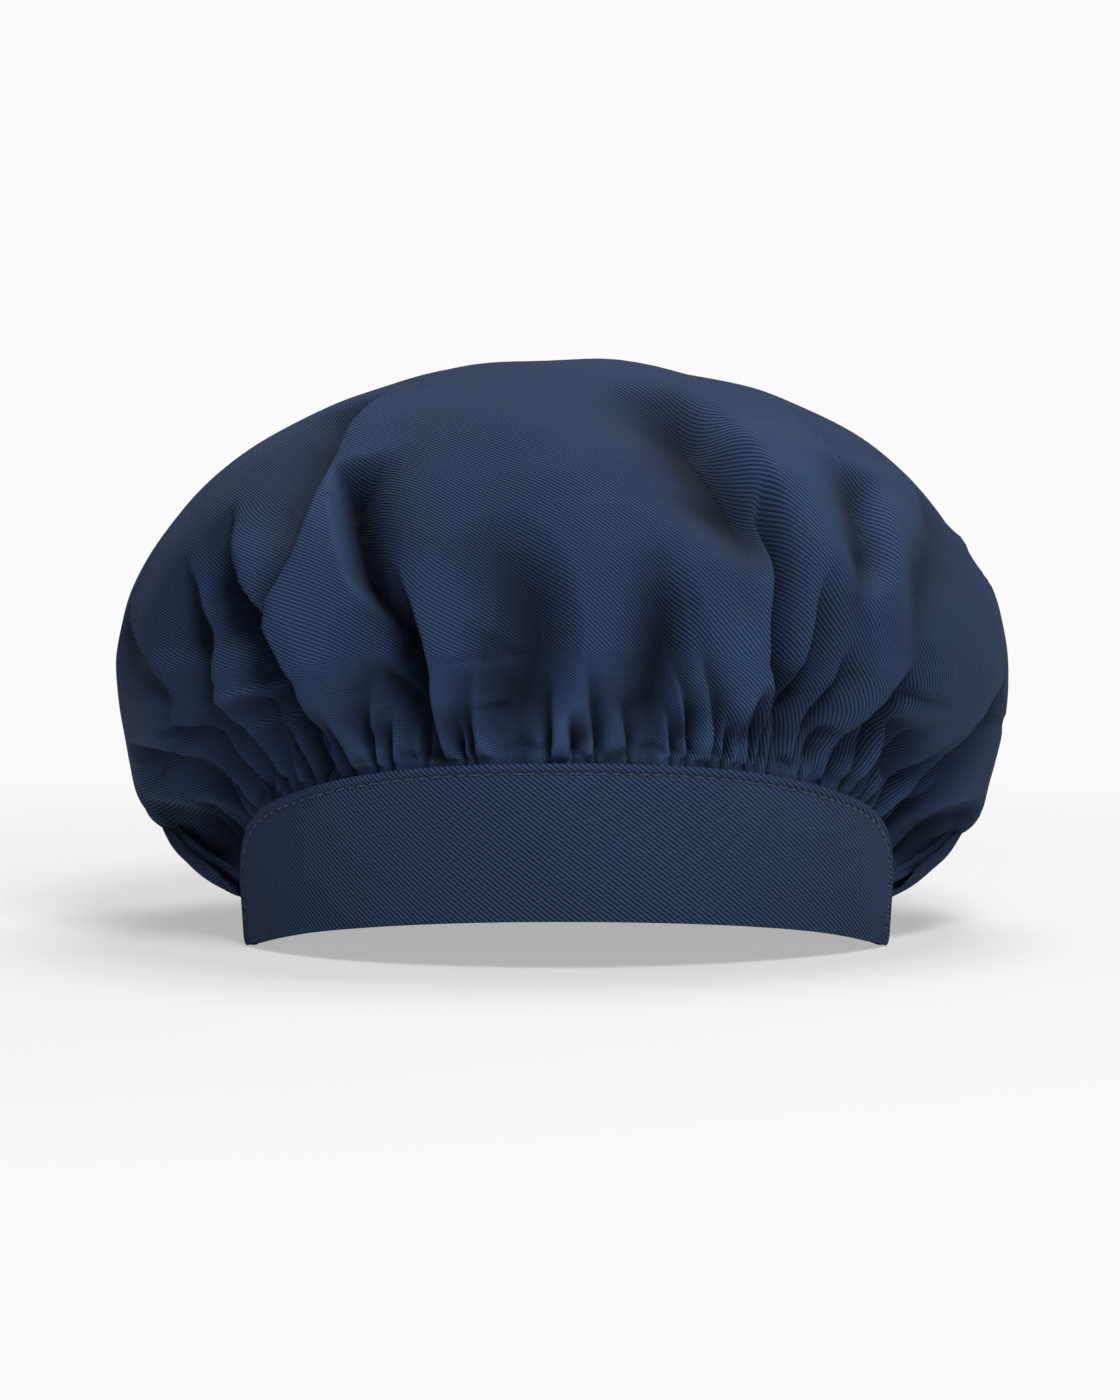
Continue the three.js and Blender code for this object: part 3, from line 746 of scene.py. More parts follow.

# Main folds seen from the front, from the left round to the right. Each has its places, then soft,
# sharp, depth, lean, shade (how dark the painted shade in its valley is) and side.
FRONT_FOLDS = [
    Fold(
        ((-89, 0), (-90.5, 0.04), (-92.5, 0.08), (-95, 0.12), (-98, 0.16)),
        8, 4.0, 4, 0.0, 0.5, R,
    ),
    Fold(
        ((-81.5, 0), (-83.3, 0.03), (-86, 0.07), (-88, 0.11), (-91, 0.15), (-97, 0.20)),
        11, 4.0, 6, 0.0, 0.6, R,
    ),
    Fold(
        ((-79.5, 0), (-80.5, 0.04), (-82, 0.08), (-84, 0.11)),
        6, 2.5, 4, 0.5, 0.4, R,
    ),
    Fold(
        ((-75.5, 0), (-74.3, 0.04), (-72.7, 0.08), (-71.7, 0.12), (-71.5, 0.17), (-75, 0.22),
         (-86, 0.27)),
        13, 2.0, 9, 2.0, 0.55, R,
    ),
    Fold(
        ((-66.5, 0), (-65, 0.05), (-63, 0.09), (-61, 0.135), (-60, 0.18), (-63, 0.235), (-69, 0.26)),
        9, 1.8, 8, 2.0, 0.6, R,
    ),
    Fold(
        ((-64, 0.28), (-61.5, 0.33), (-66, 0.385), (-75, 0.42), (-86, 0.46)),
        7, 2.0, 3.5, 0.5, 0.3, R, rooted=0.3, full_at=0.3, fade_from=0.95,
    ),
    Fold(
        ((-59, 0), (-56.5, 0.045), (-53.5, 0.10), (-51, 0.17), (-49.5, 0.24), (-48.6, 0.31),
         (-49.5, 0.38), (-51, 0.43), (-54.5, 0.465), (-60, 0.505), (-65, 0.53)),
        14, 1.6, 15, 4.0, 0.8, R, fade_from=0.80,
    ),
    Fold(
        ((-50, 0), (-48.5, 0.055), (-46, 0.13), (-43.5, 0.20), (-43, 0.26), (-45, 0.32)),
        7, 1.8, 7, 1.5, 0.5, R,
    ),
    Fold(
        ((-39.5, 0), (-37, 0.09), (-35.3, 0.17), (-34.5, 0.27), (-34.6, 0.345), (-36.3, 0.385),
         (-38.5, 0.42), (-41.5, 0.46), (-44.5, 0.49), (-49.5, 0.54), (-54, 0.57), (-59, 0.60)),
        13, 1.6, 20, 5.0, 0.9, R, fade_from=0.84,
    ),
    Fold(
        ((-39.5, 0.475), (-39, 0.50), (-39.3, 0.55), (-41, 0.60), (-44, 0.665), (-50, 0.725),
         (-56, 0.775), (-64, 0.81)),
        12, 3.0, 10, 1.0, 0.80, R, rooted=0.60, full_at=0.3, fade_from=0.75, kept_at=-33.0,
    ),
    Fold(
        ((-24.5, 0), (-23.5, 0.07), (-22, 0.15), (-21.7, 0.22), (-22, 0.28), (-24, 0.34), (-27, 0.39)),
        7, 3.0, 6, 1.0, 0.45, R,
    ),
    Fold(
        ((-20.5, 0.42), (-22.5, 0.44), (-25.3, 0.465), (-27.7, 0.495), (-30.5, 0.545), (-34.2, 0.605),
         (-37, 0.645), (-39, 0.67)),
        9, 2.4, 13, 1.5, 0.95, L, rooted=0.3, full_at=0.3, fade_from=0.80,
    ),
    Fold(
        ((-18.5, 0), (-18, 0.07), (-17, 0.15), (-16.2, 0.25), (-15.8, 0.33), (-16.2, 0.38),
         (-17.3, 0.42), (-19, 0.455), (-21.5, 0.485), (-23.5, 0.51)),
        13, 1.6, 21, 4.0, 0.97, R, fade_from=0.80,
    ),
    Fold(
        ((-9.5, 0), (-9, 0.08), (-8.5, 0.16), (-8.5, 0.21)),
        5, 3.0, 4, 0.5, 0.4, R,
    ),
    Fold(
        ((-8.5, 0.34), (-8, 0.38), (-6.5, 0.40)),
        7, 7.0, 2.5, 0.0, 0.25, R, rooted=0.3,
    ),
    Fold(
        ((-6.5, 0), (-6, 0.12), (-5, 0.22), (-3.5, 0.33), (-3, 0.41), (-4.5, 0.48), (-8, 0.53),
         (-12, 0.58)),
        12, 8.0, 12, 0.0, 0.75, R,
    ),
    Fold(
        ((12.5, 0), (12.5, 0.08), (12.2, 0.20), (12.4, 0.31), (13.2, 0.41), (13.3, 0.47), (12.5, 0.51),
         (11.5, 0.55)),
        10, 5.0, 12, 0.0, 0.85, R,
    ),
    Fold(
        ((26.5, 0), (25.5, 0.07), (24.8, 0.15), (24.6, 0.23), (25, 0.30)),
        4, 1.6, 4, 1.0, 0.4, L,
    ),
    Fold(
        ((22.5, 0.465), (24.5, 0.51), (26, 0.56), (27, 0.62), (27, 0.68), (27.5, 0.73), (30, 0.78),
         (34, 0.83)),
        16, 9.0, 13, 0.0, 0.85, R, rooted=0.10, full_at=0.4, fade_from=0.70,
    ),
    Fold(
        ((30.5, 0), (29.4, 0.07), (28.6, 0.13), (27.5, 0.20), (26.4, 0.29), (25.3, 0.38), (26, 0.44),
         (27.9, 0.50), (29.8, 0.565), (31.7, 0.615), (35, 0.66)),
        7, 1.4, 13, 2.5, 0.95, L, fade_from=0.70,
    ),
    Fold(
        ((35.5, 0), (33.2, 0.06), (31.5, 0.12), (30.5, 0.20), (30.3, 0.28), (31, 0.37), (33, 0.43),
         (36, 0.49), (38, 0.52)),
        8, 1.6, 9, 2.0, 0.65, L, fade_from=0.75,
    ),
    Fold(
        ((38.4, 0), (36.8, 0.06), (35.8, 0.13), (35.4, 0.22), (35.6, 0.30), (37, 0.37), (39.5, 0.425)),
        7.5, 1.6, 8, 2.0, 0.6, L, fade_from=0.75,
    ),
    Fold(
        ((40, 0.46), (42, 0.485), (45, 0.52), (47.5, 0.555), (49.5, 0.59), (53, 0.625), (60, 0.665)),
        9, 6.0, 6.9, 0.0, 0.7, R, rooted=0.2, full_at=0.3, fade_from=0.60,
    ),
    Fold(
        ((43, 0), (41, 0.05), (40, 0.10), (39.6, 0.16)),
        4, 1.6, 4, 1.0, 0.45, L,
    ),
    Fold(
        ((49, 0), (46.5, 0.06), (45, 0.13), (44.4, 0.20), (44.6, 0.28), (46.5, 0.345), (51, 0.385)),
        10, 1.6, 12, 3.0, 0.75, L, fade_from=0.75,
    ),
    Fold(
        ((50, 0.36), (50.5, 0.40), (52, 0.44), (54.7, 0.475), (57.5, 0.505), (62, 0.53), (70, 0.565),
         (80, 0.59), (97, 0.63)),
        12, 9.0, 6.5, 0.0, 0.5, L, rooted=0.15, full_at=0.3, fade_from=0.70,
    ),
    Fold(
        ((58, 0), (57.5, 0.045), (57, 0.085), (56, 0.13), (53, 0.20), (52.5, 0.24)),
        6, 1.6, 7, 1.5, 0.6, L,
    ),
    Fold(
        ((66, 0), (65, 0.06), (62.5, 0.09), (60.5, 0.13), (59.5, 0.175)),
        6, 1.6, 7, 1.5, 0.55, L,
    ),
    Fold(
        ((75, 0), (74.8, 0.04), (74.5, 0.075), (73, 0.12), (71, 0.18), (70, 0.235), (70, 0.30),
         (73, 0.35), (81, 0.39)),
        12, 2.0, 11, 2.5, 0.6, L, fade_from=0.85,
    ),
    Fold(
        ((78, 0), (78, 0.03), (78.5, 0.06), (79, 0.09)),
        5, 2.0, 4, 0.5, 0.5, L,
    ),
    Fold(
        ((84, 0), (85.5, 0.05), (87, 0.09), (89.5, 0.135), (96, 0.19)),
        9, 4.0, 6, 0.0, 0.6, L,
    ),
    Fold(
        ((90, 0), (91.5, 0.04), (93.5, 0.08), (96, 0.12), (99, 0.16)),
        8, 4.0, 4, 0.0, 0.5, L,
    ),
]

# Pleats that run up from the seam between the main folds: turn at the seam, and how high they go
SEAM_PLEATS = [
    (-95, 0.05), (-87, 0.05), (-84, 0.05), (-77, 0.06), (-71, 0.07), (-63, 0.08), (-54.5, 0.09), (-46, 0.10),
    (-42.5, 0.14), (-35.5, 0.09), (-30.5, 0.14), (-27.5, 0.08), (-21.5, 0.09), (-15, 0.07), (-13.3, 0.14),
    (-2.5, 0.13), (0.8, 0.08), (4, 0.15), (9, 0.09), (15.5, 0.08), (18, 0.16), (22, 0.20), (24, 0.08),
    (28.3, 0.10), (33, 0.07), (40.5, 0.06), (46, 0.08), (53.5, 0.13), (62, 0.10), (70, 0.09), (81, 0.06),
    (88, 0.05), (96, 0.05),
]


@dataclass(frozen=True)
class BackFolds:
    """The folds round the back, which run up from the hem in a long and short rhythm."""

    count: int = 15
    start: float = 110.0
    stop: float = 250.0
    long: float = 0.56
    short: float = 0.34
    width: float = 9.0
    width_change: float = 0.2
    soft_share: float = 1.3
    sharp_share: float = 0.6
    depth: float = 10.0
    depth_change: float = 0.25
    # How dark the painted shade in each fold's valley is.
    shade: float = 0.6
    sway: float = 7.0
    sway_beat: Place = (2.3, 0.7)
    width_beat: Place = (1.7, 0.0)
    depth_beat: Place = (2.9, 1.0)
    bends: tuple[Place, ...] = ((0.0, 0.0), (0.2, 0.35), (0.6, 0.70), (1.0, 1.0))

    @staticmethod
    def vary(beat: Place, index: int) -> float:
        """A number between -1 and 1 that changes from fold to fold."""
        return math.sin(beat[0] * index + beat[1])

    def folds(self) -> list[Fold]:
        """Make the folds."""
        made = []
        for i in range(self.count):
            turn = self.start + (self.stop - self.start) * i / (self.count - 1)
            turn = turn - 360.0 if turn > 180.0 else turn
            height = self.long if i % 2 == 0 else self.short
            sway = self.sway * self.vary(self.sway_beat, i)
            width = self.width * (1 + self.width_change * self.vary(self.width_beat, i))
            depth = self.depth * (1 + self.depth_change * self.vary(self.depth_beat, i))
            places = tuple((turn + bent * sway, up * height) for bent, up in self.bends)
            side = R if i % 3 == 0 else L
            soft, sharp = width * self.soft_share, width * self.sharp_share
            made.append(Fold(places, soft, sharp, depth, 0.0, self.shade, side))
        return made


@dataclass(frozen=True)
class SeamGathers:
    """The fine gathers that the seam draws the cloth into, between the feet of the folds.

    Ranges are the least and the most of a random size.
    """

    pleat_depth: float = 6.5
    pleat_change: Place = (0.8, 1.15)
    pleat_widths: Place = (3.8, 1.1)
    pleat_lean: float = 1.0
    # How dark the painted shade in each pleat's valley is, darkest at the seam.
    pleat_shade: float = 0.9
    pleat_fade: float = 0.04
    stretch: float = 2.6
    front_step: float = 2.9
    back_step: float = 7.0
    jitter: float = 0.3
    front_lengths: Place = (0.03, 0.07)
    back_lengths: Place = (0.10, 0.22)
    soft_widths: Place = (1.8, 3.2)
    sharp_widths: Place = (1.0, 1.8)
    back_widening: float = 2.0
    front_depths: Place = (0.6, 1.4)
    back_depths: Place = (2.2, 3.6)
    lean: float = 0.3
    # How dark the painted shade in each gather's valley is.
    shade: float = 0.25
    fade: float = 0.3
    fan_turn: float = 21.0
    seed: int = 11

    def folds(self, form: CrownForm) -> list[Fold]:
        """Make the pleats in front and the finer gathers all round.

        Args:
            form: the crown's smooth form.

        Returns:
            A short fold for each of them.
        """
        chance = np.random.default_rng(self.seed)
        return self.pleats(form, chance) + self.gathers(form, chance)

    def pleats(self, form: CrownForm, chance: np.random.Generator) -> list[Fold]:
        """Make the pleats in front, with depths drawn at random."""
        made = []
        for turn, length in SEAM_PLEATS:
            side = L if turn > 0 else R
            places = self.straight(turn, self.stretch * length, self.fan(form, turn))
            depth = self.pleat_depth * chance.uniform(*self.pleat_change)
            look = (*self.pleat_widths, depth, self.pleat_lean, self.pleat_shade, side)
            made.append(Fold(places, *look, rooted=1.0, full_at=1.0, fade_from=self.pleat_fade))
        return made

    def gathers(self, form: CrownForm, chance: np.random.Generator) -> list[Fold]:
        """Make the finer gathers all round, with places and sizes drawn at random."""
        made = []
        turn = -180.0
        while turn < 180.0:
            behind = abs(turn) > form.seam_turn
            step = self.back_step if behind else self.front_step
            place = turn + step * chance.uniform(-self.jitter, self.jitter)
            length = chance.uniform(*(self.back_lengths if behind else self.front_lengths))
            wider = self.back_widening if behind else 1.0
            soft = wider * chance.uniform(*self.soft_widths)
            sharp = wider * chance.uniform(*self.sharp_widths)
            depth = chance.uniform(*(self.back_depths if behind else self.front_depths))
            side = R if chance.uniform() < 0.5 else L
            places = self.straight(place, length, self.fan(form, place))
            look = (soft, sharp, depth, self.lean, self.shade, side)
            made.append(Fold(places, *look, rooted=1.0, full_at=1.0, fade_from=self.fade))
            turn += step
        return made

    def fan(self, form: CrownForm, turn: float) -> float:
        """How many degrees a pleat drifts towards the front for each unit of rise."""
        if abs(turn) >= form.seam_turn:
            return 0.0
        return -math.copysign(self.fan_turn * math.sin(math.pi * abs(turn) / form.seam_turn), turn)

    @staticmethod
    def straight(turn: float, length: float, lean: float) -> tuple[Place, ...]:
        """Places of a straight short fold that starts at the seam."""
        return tuple((turn + lean * length * k, length * k) for k in (0.0, 0.35, 0.7, 1.0))


@dataclass(frozen=True)
class ClothWaves:
    """Low soft waves that keep the cloth from lying too smooth."""

    count: int = 26
    shortest: float = 16.0
    longest: float = 48.0
    height: float = 0.55
    seed: int = 5

    def height_at(self, points: Array) -> Array:
        """Height of the waves at points, in millimetres."""
        chance = np.random.default_rng(self.seed)
        total = np.zeros(len(points))
        for _ in range(self.count):
            direction = unit(chance.normal(size=3))
            length = chance.uniform(self.shortest, self.longest)
            phase = chance.uniform(0.0, 2 * math.pi)
            total += np.sin(points @ direction * 2 * math.pi / length + phase) * length / self.longest
        return total * self.height / math.sqrt(self.count / 2)


class NodeBuilder:
    """Adds and joins nodes of one tree."""

    def __init__(self, tree: bpy.types.NodeTree) -> None:
        """Keep the tree."""
        self.tree = tree

    def add(self, kind: str, settings: dict | None = None, **sockets: object) -> bpy.types.Node:
        """Add a node.

        Args:
            kind: the node's type.
            settings: its properties.
            **sockets: values or sockets for its inputs, by name with spaces as underscores, or i0,
                i1 and so on by index.

        Returns:
            The node.
        """
        node = self.tree.nodes.new(kind)
        for name, value in (settings or {}).items():
            setattr(node, name, value)
        for name, value in sockets.items():
            by_index = name[0] == "i" and name[1:].isdigit()
            target = node.inputs[int(name[1:])] if by_index else node.inputs[name.replace("_", " ")]
            if isinstance(value, bpy.types.NodeSocket):
                self.tree.links.new(value, target)
            else:
                target.default_value = value
        return node

    def math(self, operation: str, *inputs: object) -> bpy.types.NodeSocket:
        """Add a math node.

        Args:
            operation: the node's operation.
            *inputs: its inputs, values or sockets.

        Returns:
            The value socket.
        """
        sockets = {f"i{i}": value for i, value in enumerate(inputs)}
        return self.add("ShaderNodeMath", {"operation": operation}, **sockets).outputs[0]

    def tinted(self, color: Color, shade: bpy.types.NodeSocket) -> bpy.types.NodeSocket:
        """Multiply a colour by a shade, and return the colour socket."""
        tint = self.add("ShaderNodeMix", {"data_type": "RGBA", "blend_type": "MULTIPLY"})
        tint.inputs[0].default_value = 1.0
        tint.inputs[6].default_value = (*color, 1.0)
        self.tree.links.new(shade, tint.inputs[7])
        return tint.outputs[2]


def blank_material(name: str) -> tuple[bpy.types.Material, NodeBuilder]:
    """Make a material with an empty tree, and the builder of its nodes."""
    made = bpy.data.materials.new(name)
    made.use_nodes = True
    made.node_tree.nodes.clear()
    return made, NodeBuilder(made.node_tree)


class TwillWeave:
    """Shader node group of a cotton twill: slanted ribs of short thread floats."""

    NAME = "twill_weave"
    CRIMP = 0.14
    RIB_POWER = 0.7
    FIBRE_SHARE = 0.22
    WOBBLE_SCALE = 260.0
    FIBRE_SCALE = 2600.0
    PATCH_SCALE = 34.0
    INPUTS = (("Pitch", 0.00105), ("Slant", 0.66), ("Float", 0.0007), ("Wander", 0.00014))

    @classmethod
    def group(cls) -> bpy.types.NodeTree:
        """Make the group once, and return it.

        Returns:
            The node group.
        """
        if cls.NAME in bpy.data.node_groups:
            return bpy.data.node_groups[cls.NAME]
        tree = bpy.data.node_groups.new(cls.NAME, "ShaderNodeTree")
        face = tree.interface
        face.new_socket("Place", in_out="INPUT", socket_type="NodeSocketVector")
        for name, value in cls.INPUTS:
            face.new_socket(name, in_out="INPUT", socket_type="NodeSocketFloat").default_value = value
        for name in ("Height", "Rib", "Patch", "Fibre"):
            face.new_socket(name, in_out="OUTPUT", socket_type="NodeSocketFloat")
        make = NodeBuilder(tree)
        given = make.add("NodeGroupInput")
        flat, wander, slant = given.outputs["Place"], given.outputs["Wander"], given.outputs["Slant"]
        wobble = make.add("ShaderNodeTexNoise", Vector=flat, Scale=cls.WOBBLE_SCALE, Detail=2.0)
        centred = make.add(
            "ShaderNodeVectorMath", {"operation": "SUBTRACT"}, i0=wobble.outputs["Color"], i1=(0.5, 0.5, 0.5)
        )
        moved = make.add("ShaderNodeVectorMath", {"operation": "SCALE"}, i0=centred.outputs[0], Scale=wander)
        place = make.add("ShaderNodeVectorMath", {"operation": "ADD"}, i0=flat, i1=moved.outputs[0])
        turned = make.add(
            "ShaderNodeVectorRotate", {"rotation_type": "Z_AXIS"}, Vector=place.outputs[0], Angle=slant
        )
        split = make.add("ShaderNodeSeparateXYZ", i0=turned.outputs[0])
        along, across = split.outputs[0], split.outputs[1]
        count = make.math("DIVIDE", across, given.outputs["Pitch"])
        wave = make.math("SINE", make.math("MULTIPLY", count, 2 * math.pi))
        rib = make.math("MULTIPLY_ADD", wave, 0.5, 0.5)
        floats = make.math("DIVIDE", along, given.outputs["Float"])
        floats = make.math("ADD", floats, make.math("MULTIPLY", count, 0.5))
        thread = make.math("SINE", make.math("MULTIPLY", floats, 2 * math.pi))
        crimp = make.math("MULTIPLY_ADD", thread, cls.CRIMP, 1.0 - cls.CRIMP)
        fibre = make.add("ShaderNodeTexNoise", Vector=flat, Scale=cls.FIBRE_SCALE, Detail=3.0, Roughness=0.7)
        patch = make.add("ShaderNodeTexNoise", Vector=flat, Scale=cls.PATCH_SCALE, Detail=3.0, Roughness=0.55)
        height = make.math("MULTIPLY", make.math("POWER", rib, cls.RIB_POWER), crimp)
        height = make.math("ADD", height, make.math("MULTIPLY", fibre.outputs[0], cls.FIBRE_SHARE))
        make.add("NodeGroupOutput", Height=height, Rib=rib, Patch=patch.outputs[0], Fibre=fibre.outputs[0])
        return tree


@dataclass(frozen=True)
class TwillFinish:
    """Navy cotton twill, seen on one piece, its colour darkened by painted shade in the folds' valleys."""

    name: str
    color: Color
    rib_contrast: float = 1.3
    patch_contrast: float = 0.16
    fibre_share: float = 0.8
    depth: float = 0.00016
    roughness: float = 0.86
    rib_gloss: float = 0.06
    specular: float = 0.12
    sheen: float = 0.04
    sheen_roughness: float = 0.45
    sheen_tint: Color = (0.52, 0.64, 0.9)
    slant: float = 0.66
    pitch: float = 0.00105
    # How strongly the painted shade in the folds' valleys darkens the colour.
    painted_shade_strength: float = 0.95

    def material(self) -> bpy.types.Material:
        """Make the material.

        Returns:
            The material.
        """
        made, make = blank_material(self.name)
        place = make.add("ShaderNodeUVMap", {"uv_map": "cloth"})
        weave = make.add("ShaderNodeGroup", {"node_tree": TwillWeave.group()}, Place=place.outputs[0])
        weave.inputs["Slant"].default_value = self.slant
        weave.inputs["Pitch"].default_value = self.pitch
        contrasts = {
            "Rib": self.rib_contrast,
            "Patch": self.patch_contrast,
            "Fibre": self.rib_contrast * self.fibre_share,
        }
        shade = 1.0
        for name, contrast in contrasts.items():
            change = make.math("MULTIPLY", make.math("SUBTRACT", weave.outputs[name], 0.5), contrast)
            shade = make.math("ADD", change, shade)
        # Painted shade: the point attribute darkens the base colour in the folds' valleys.
        hollow = make.add("ShaderNodeAttribute", {"attribute_name": "hollow"})
        shadow = make.math("MULTIPLY", hollow.outputs["Fac"], self.painted_shade_strength)
        shade = make.math("MULTIPLY", shade, make.math("SUBTRACT", 1.0, shadow))
        bump = make.add("ShaderNodeBump", Strength=1.0, Distance=self.depth, Height=weave.outputs["Height"])
        gloss = make.math("MULTIPLY", weave.outputs["Rib"], self.rib_gloss)
        shader = make.add(
            "ShaderNodeBsdfPrincipled",
            Base_Color=make.tinted(self.color, shade),
            Roughness=make.math("SUBTRACT", self.roughness, gloss),
            Normal=bump.outputs[0],
            Specular_IOR_Level=self.specular,
            Sheen_Weight=self.sheen,
            Sheen_Roughness=self.sheen_roughness,
            Sheen_Tint=(*self.sheen_tint, 1.0),
        )
        make.add("ShaderNodeOutputMaterial", Surface=shader.outputs[0])
        return made


@dataclass(frozen=True)
class ThreadFinish:
    """Sewing thread in the cloth's navy."""

    name: str = "navy_thread"
    color: Color = (0.026, 0.044, 0.092)
    twist: float = 0.0005
    bands: float = 8.0
    tones: Place = (0.75, 1.15)
    bump_strength: float = 0.6
    bump_depth: float = 0.00005
    roughness: float = 0.6
    sheen: float = 0.2

    def material(self) -> bpy.types.Material:
        """Make the material.

        Returns:
            The material.
        """
        made, make = blank_material(self.name)
        place = make.add("ShaderNodeTexCoord")
        strands = make.add(
            "ShaderNodeTexWave",
            {"bands_direction": "DIAGONAL"},
            Vector=place.outputs["Object"],
            Scale=1.0 / self.twist / self.bands,
        )
        darkest, lightest = self.tones
        tone = make.add("ShaderNodeMapRange", i0=strands.outputs[1], To_Min=darkest, To_Max=lightest)
        bump = make.add(
            "ShaderNodeBump", Strength=self.bump_strength, Distance=self.bump_depth, Height=strands.outputs[1]
        )
        shader = make.add(
            "ShaderNodeBsdfPrincipled",
            Base_Color=make.tinted(self.color, tone.outputs[0]),
            Roughness=self.roughness,
            Normal=bump.outputs[0],
            Sheen_Weight=self.sheen,
        )
        make.add("ShaderNodeOutputMaterial", Surface=shader.outputs[0])
        return made


@dataclass(frozen=True)
class Opening:
    """Where the centre of the head opening lies in the CAD frame, in millimetres."""

    x: float
    y: float

    @classmethod
    def from_frame(cls, outline: BandOutline) -> "Opening":
        """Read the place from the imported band's box."""
        low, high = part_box("front_band")
        return cls((low[0] + high[0]) / 2 / MM, low[1] / MM + outline.radius)

    def metres(self, points: Array) -> Array:
        """Move points about the opening's centre into the CAD frame, in metres."""
        return (points + np.array([self.x, self.y, 0.0])) * MM


def make_mesh(
    name: str, points: Array, quads: Array, uv: Array, finish: bpy.types.Material
) -> bpy.types.Object:
    """Make a smooth-shaded mesh object at the origin.

    Args:
        name: the piece's name.
        points: its points in metres.
        quads: its faces, four indices a row, the last two alike for a triangle.
        uv: cloth coordinates in metres, one for each point.
        finish: its material.

    Returns:
        The object.
    """
    faces = [list(dict.fromkeys(row)) for row in quads.tolist()]
    faces = [face for face in faces if len(face) > 2]
    mesh = bpy.data.meshes.new(name)
    mesh.from_pydata(points.tolist(), [], faces)
    layer = mesh.uv_layers.new(name="cloth")
    corners = np.empty(len(mesh.loops), dtype=np.int64)
    mesh.loops.foreach_get("vertex_index", corners)
    placed = uv[corners]
    starts = np.empty(len(mesh.polygons), dtype=np.int64)
    mesh.polygons.foreach_get("loop_start", starts)
    widest = np.maximum.reduceat(placed[:, 0], starts) - np.minimum.reduceat(placed[:, 0], starts)
    counts = np.diff(np.append(starts, len(placed)))
    closing = np.repeat(widest > WIDEST_FACE, counts)
    placed[closing, 0] = np.abs(placed[closing, 0])
    layer.data.foreach_set("uv", placed.astype(np.float32).ravel())
    mesh.polygons.foreach_set("use_smooth", np.ones(len(mesh.polygons), dtype=bool))
    mesh.materials.append(finish)
    mesh.update()
    piece = bpy.data.objects.new(name, mesh)
    bpy.context.scene.collection.objects.link(piece)
    return piece


def capped_rings(rows: int, columns: int) -> Array:
    """Faces of a tube of rings whose ends are closed round two poles.

    Args:
        rows: number of rings, whose points come ring by ring, and after them the first ring's pole
            and the last ring's.
        columns: points in each ring.

    Returns:
        The faces, four indices a row, the last two alike for a triangle.
    """
    i, j = np.meshgrid(np.arange(rows - 1), np.arange(columns), indexing="ij")
    k = (j + 1) % columns
    grid = [i * columns + j, i * columns + k, (i + 1) * columns + k, (i + 1) * columns + j]
    j, k = j[0], k[0]
    last, pole = (rows - 1) * columns, np.full(columns, rows * columns)
    low_cap = np.stack([pole, k, j, j], axis=-1)
    high_cap = np.stack([pole + 1, last + j, last + k, last + k], axis=-1)
    return np.concatenate([np.stack(grid, axis=-1).reshape(-1, 4), low_cap, high_cap])


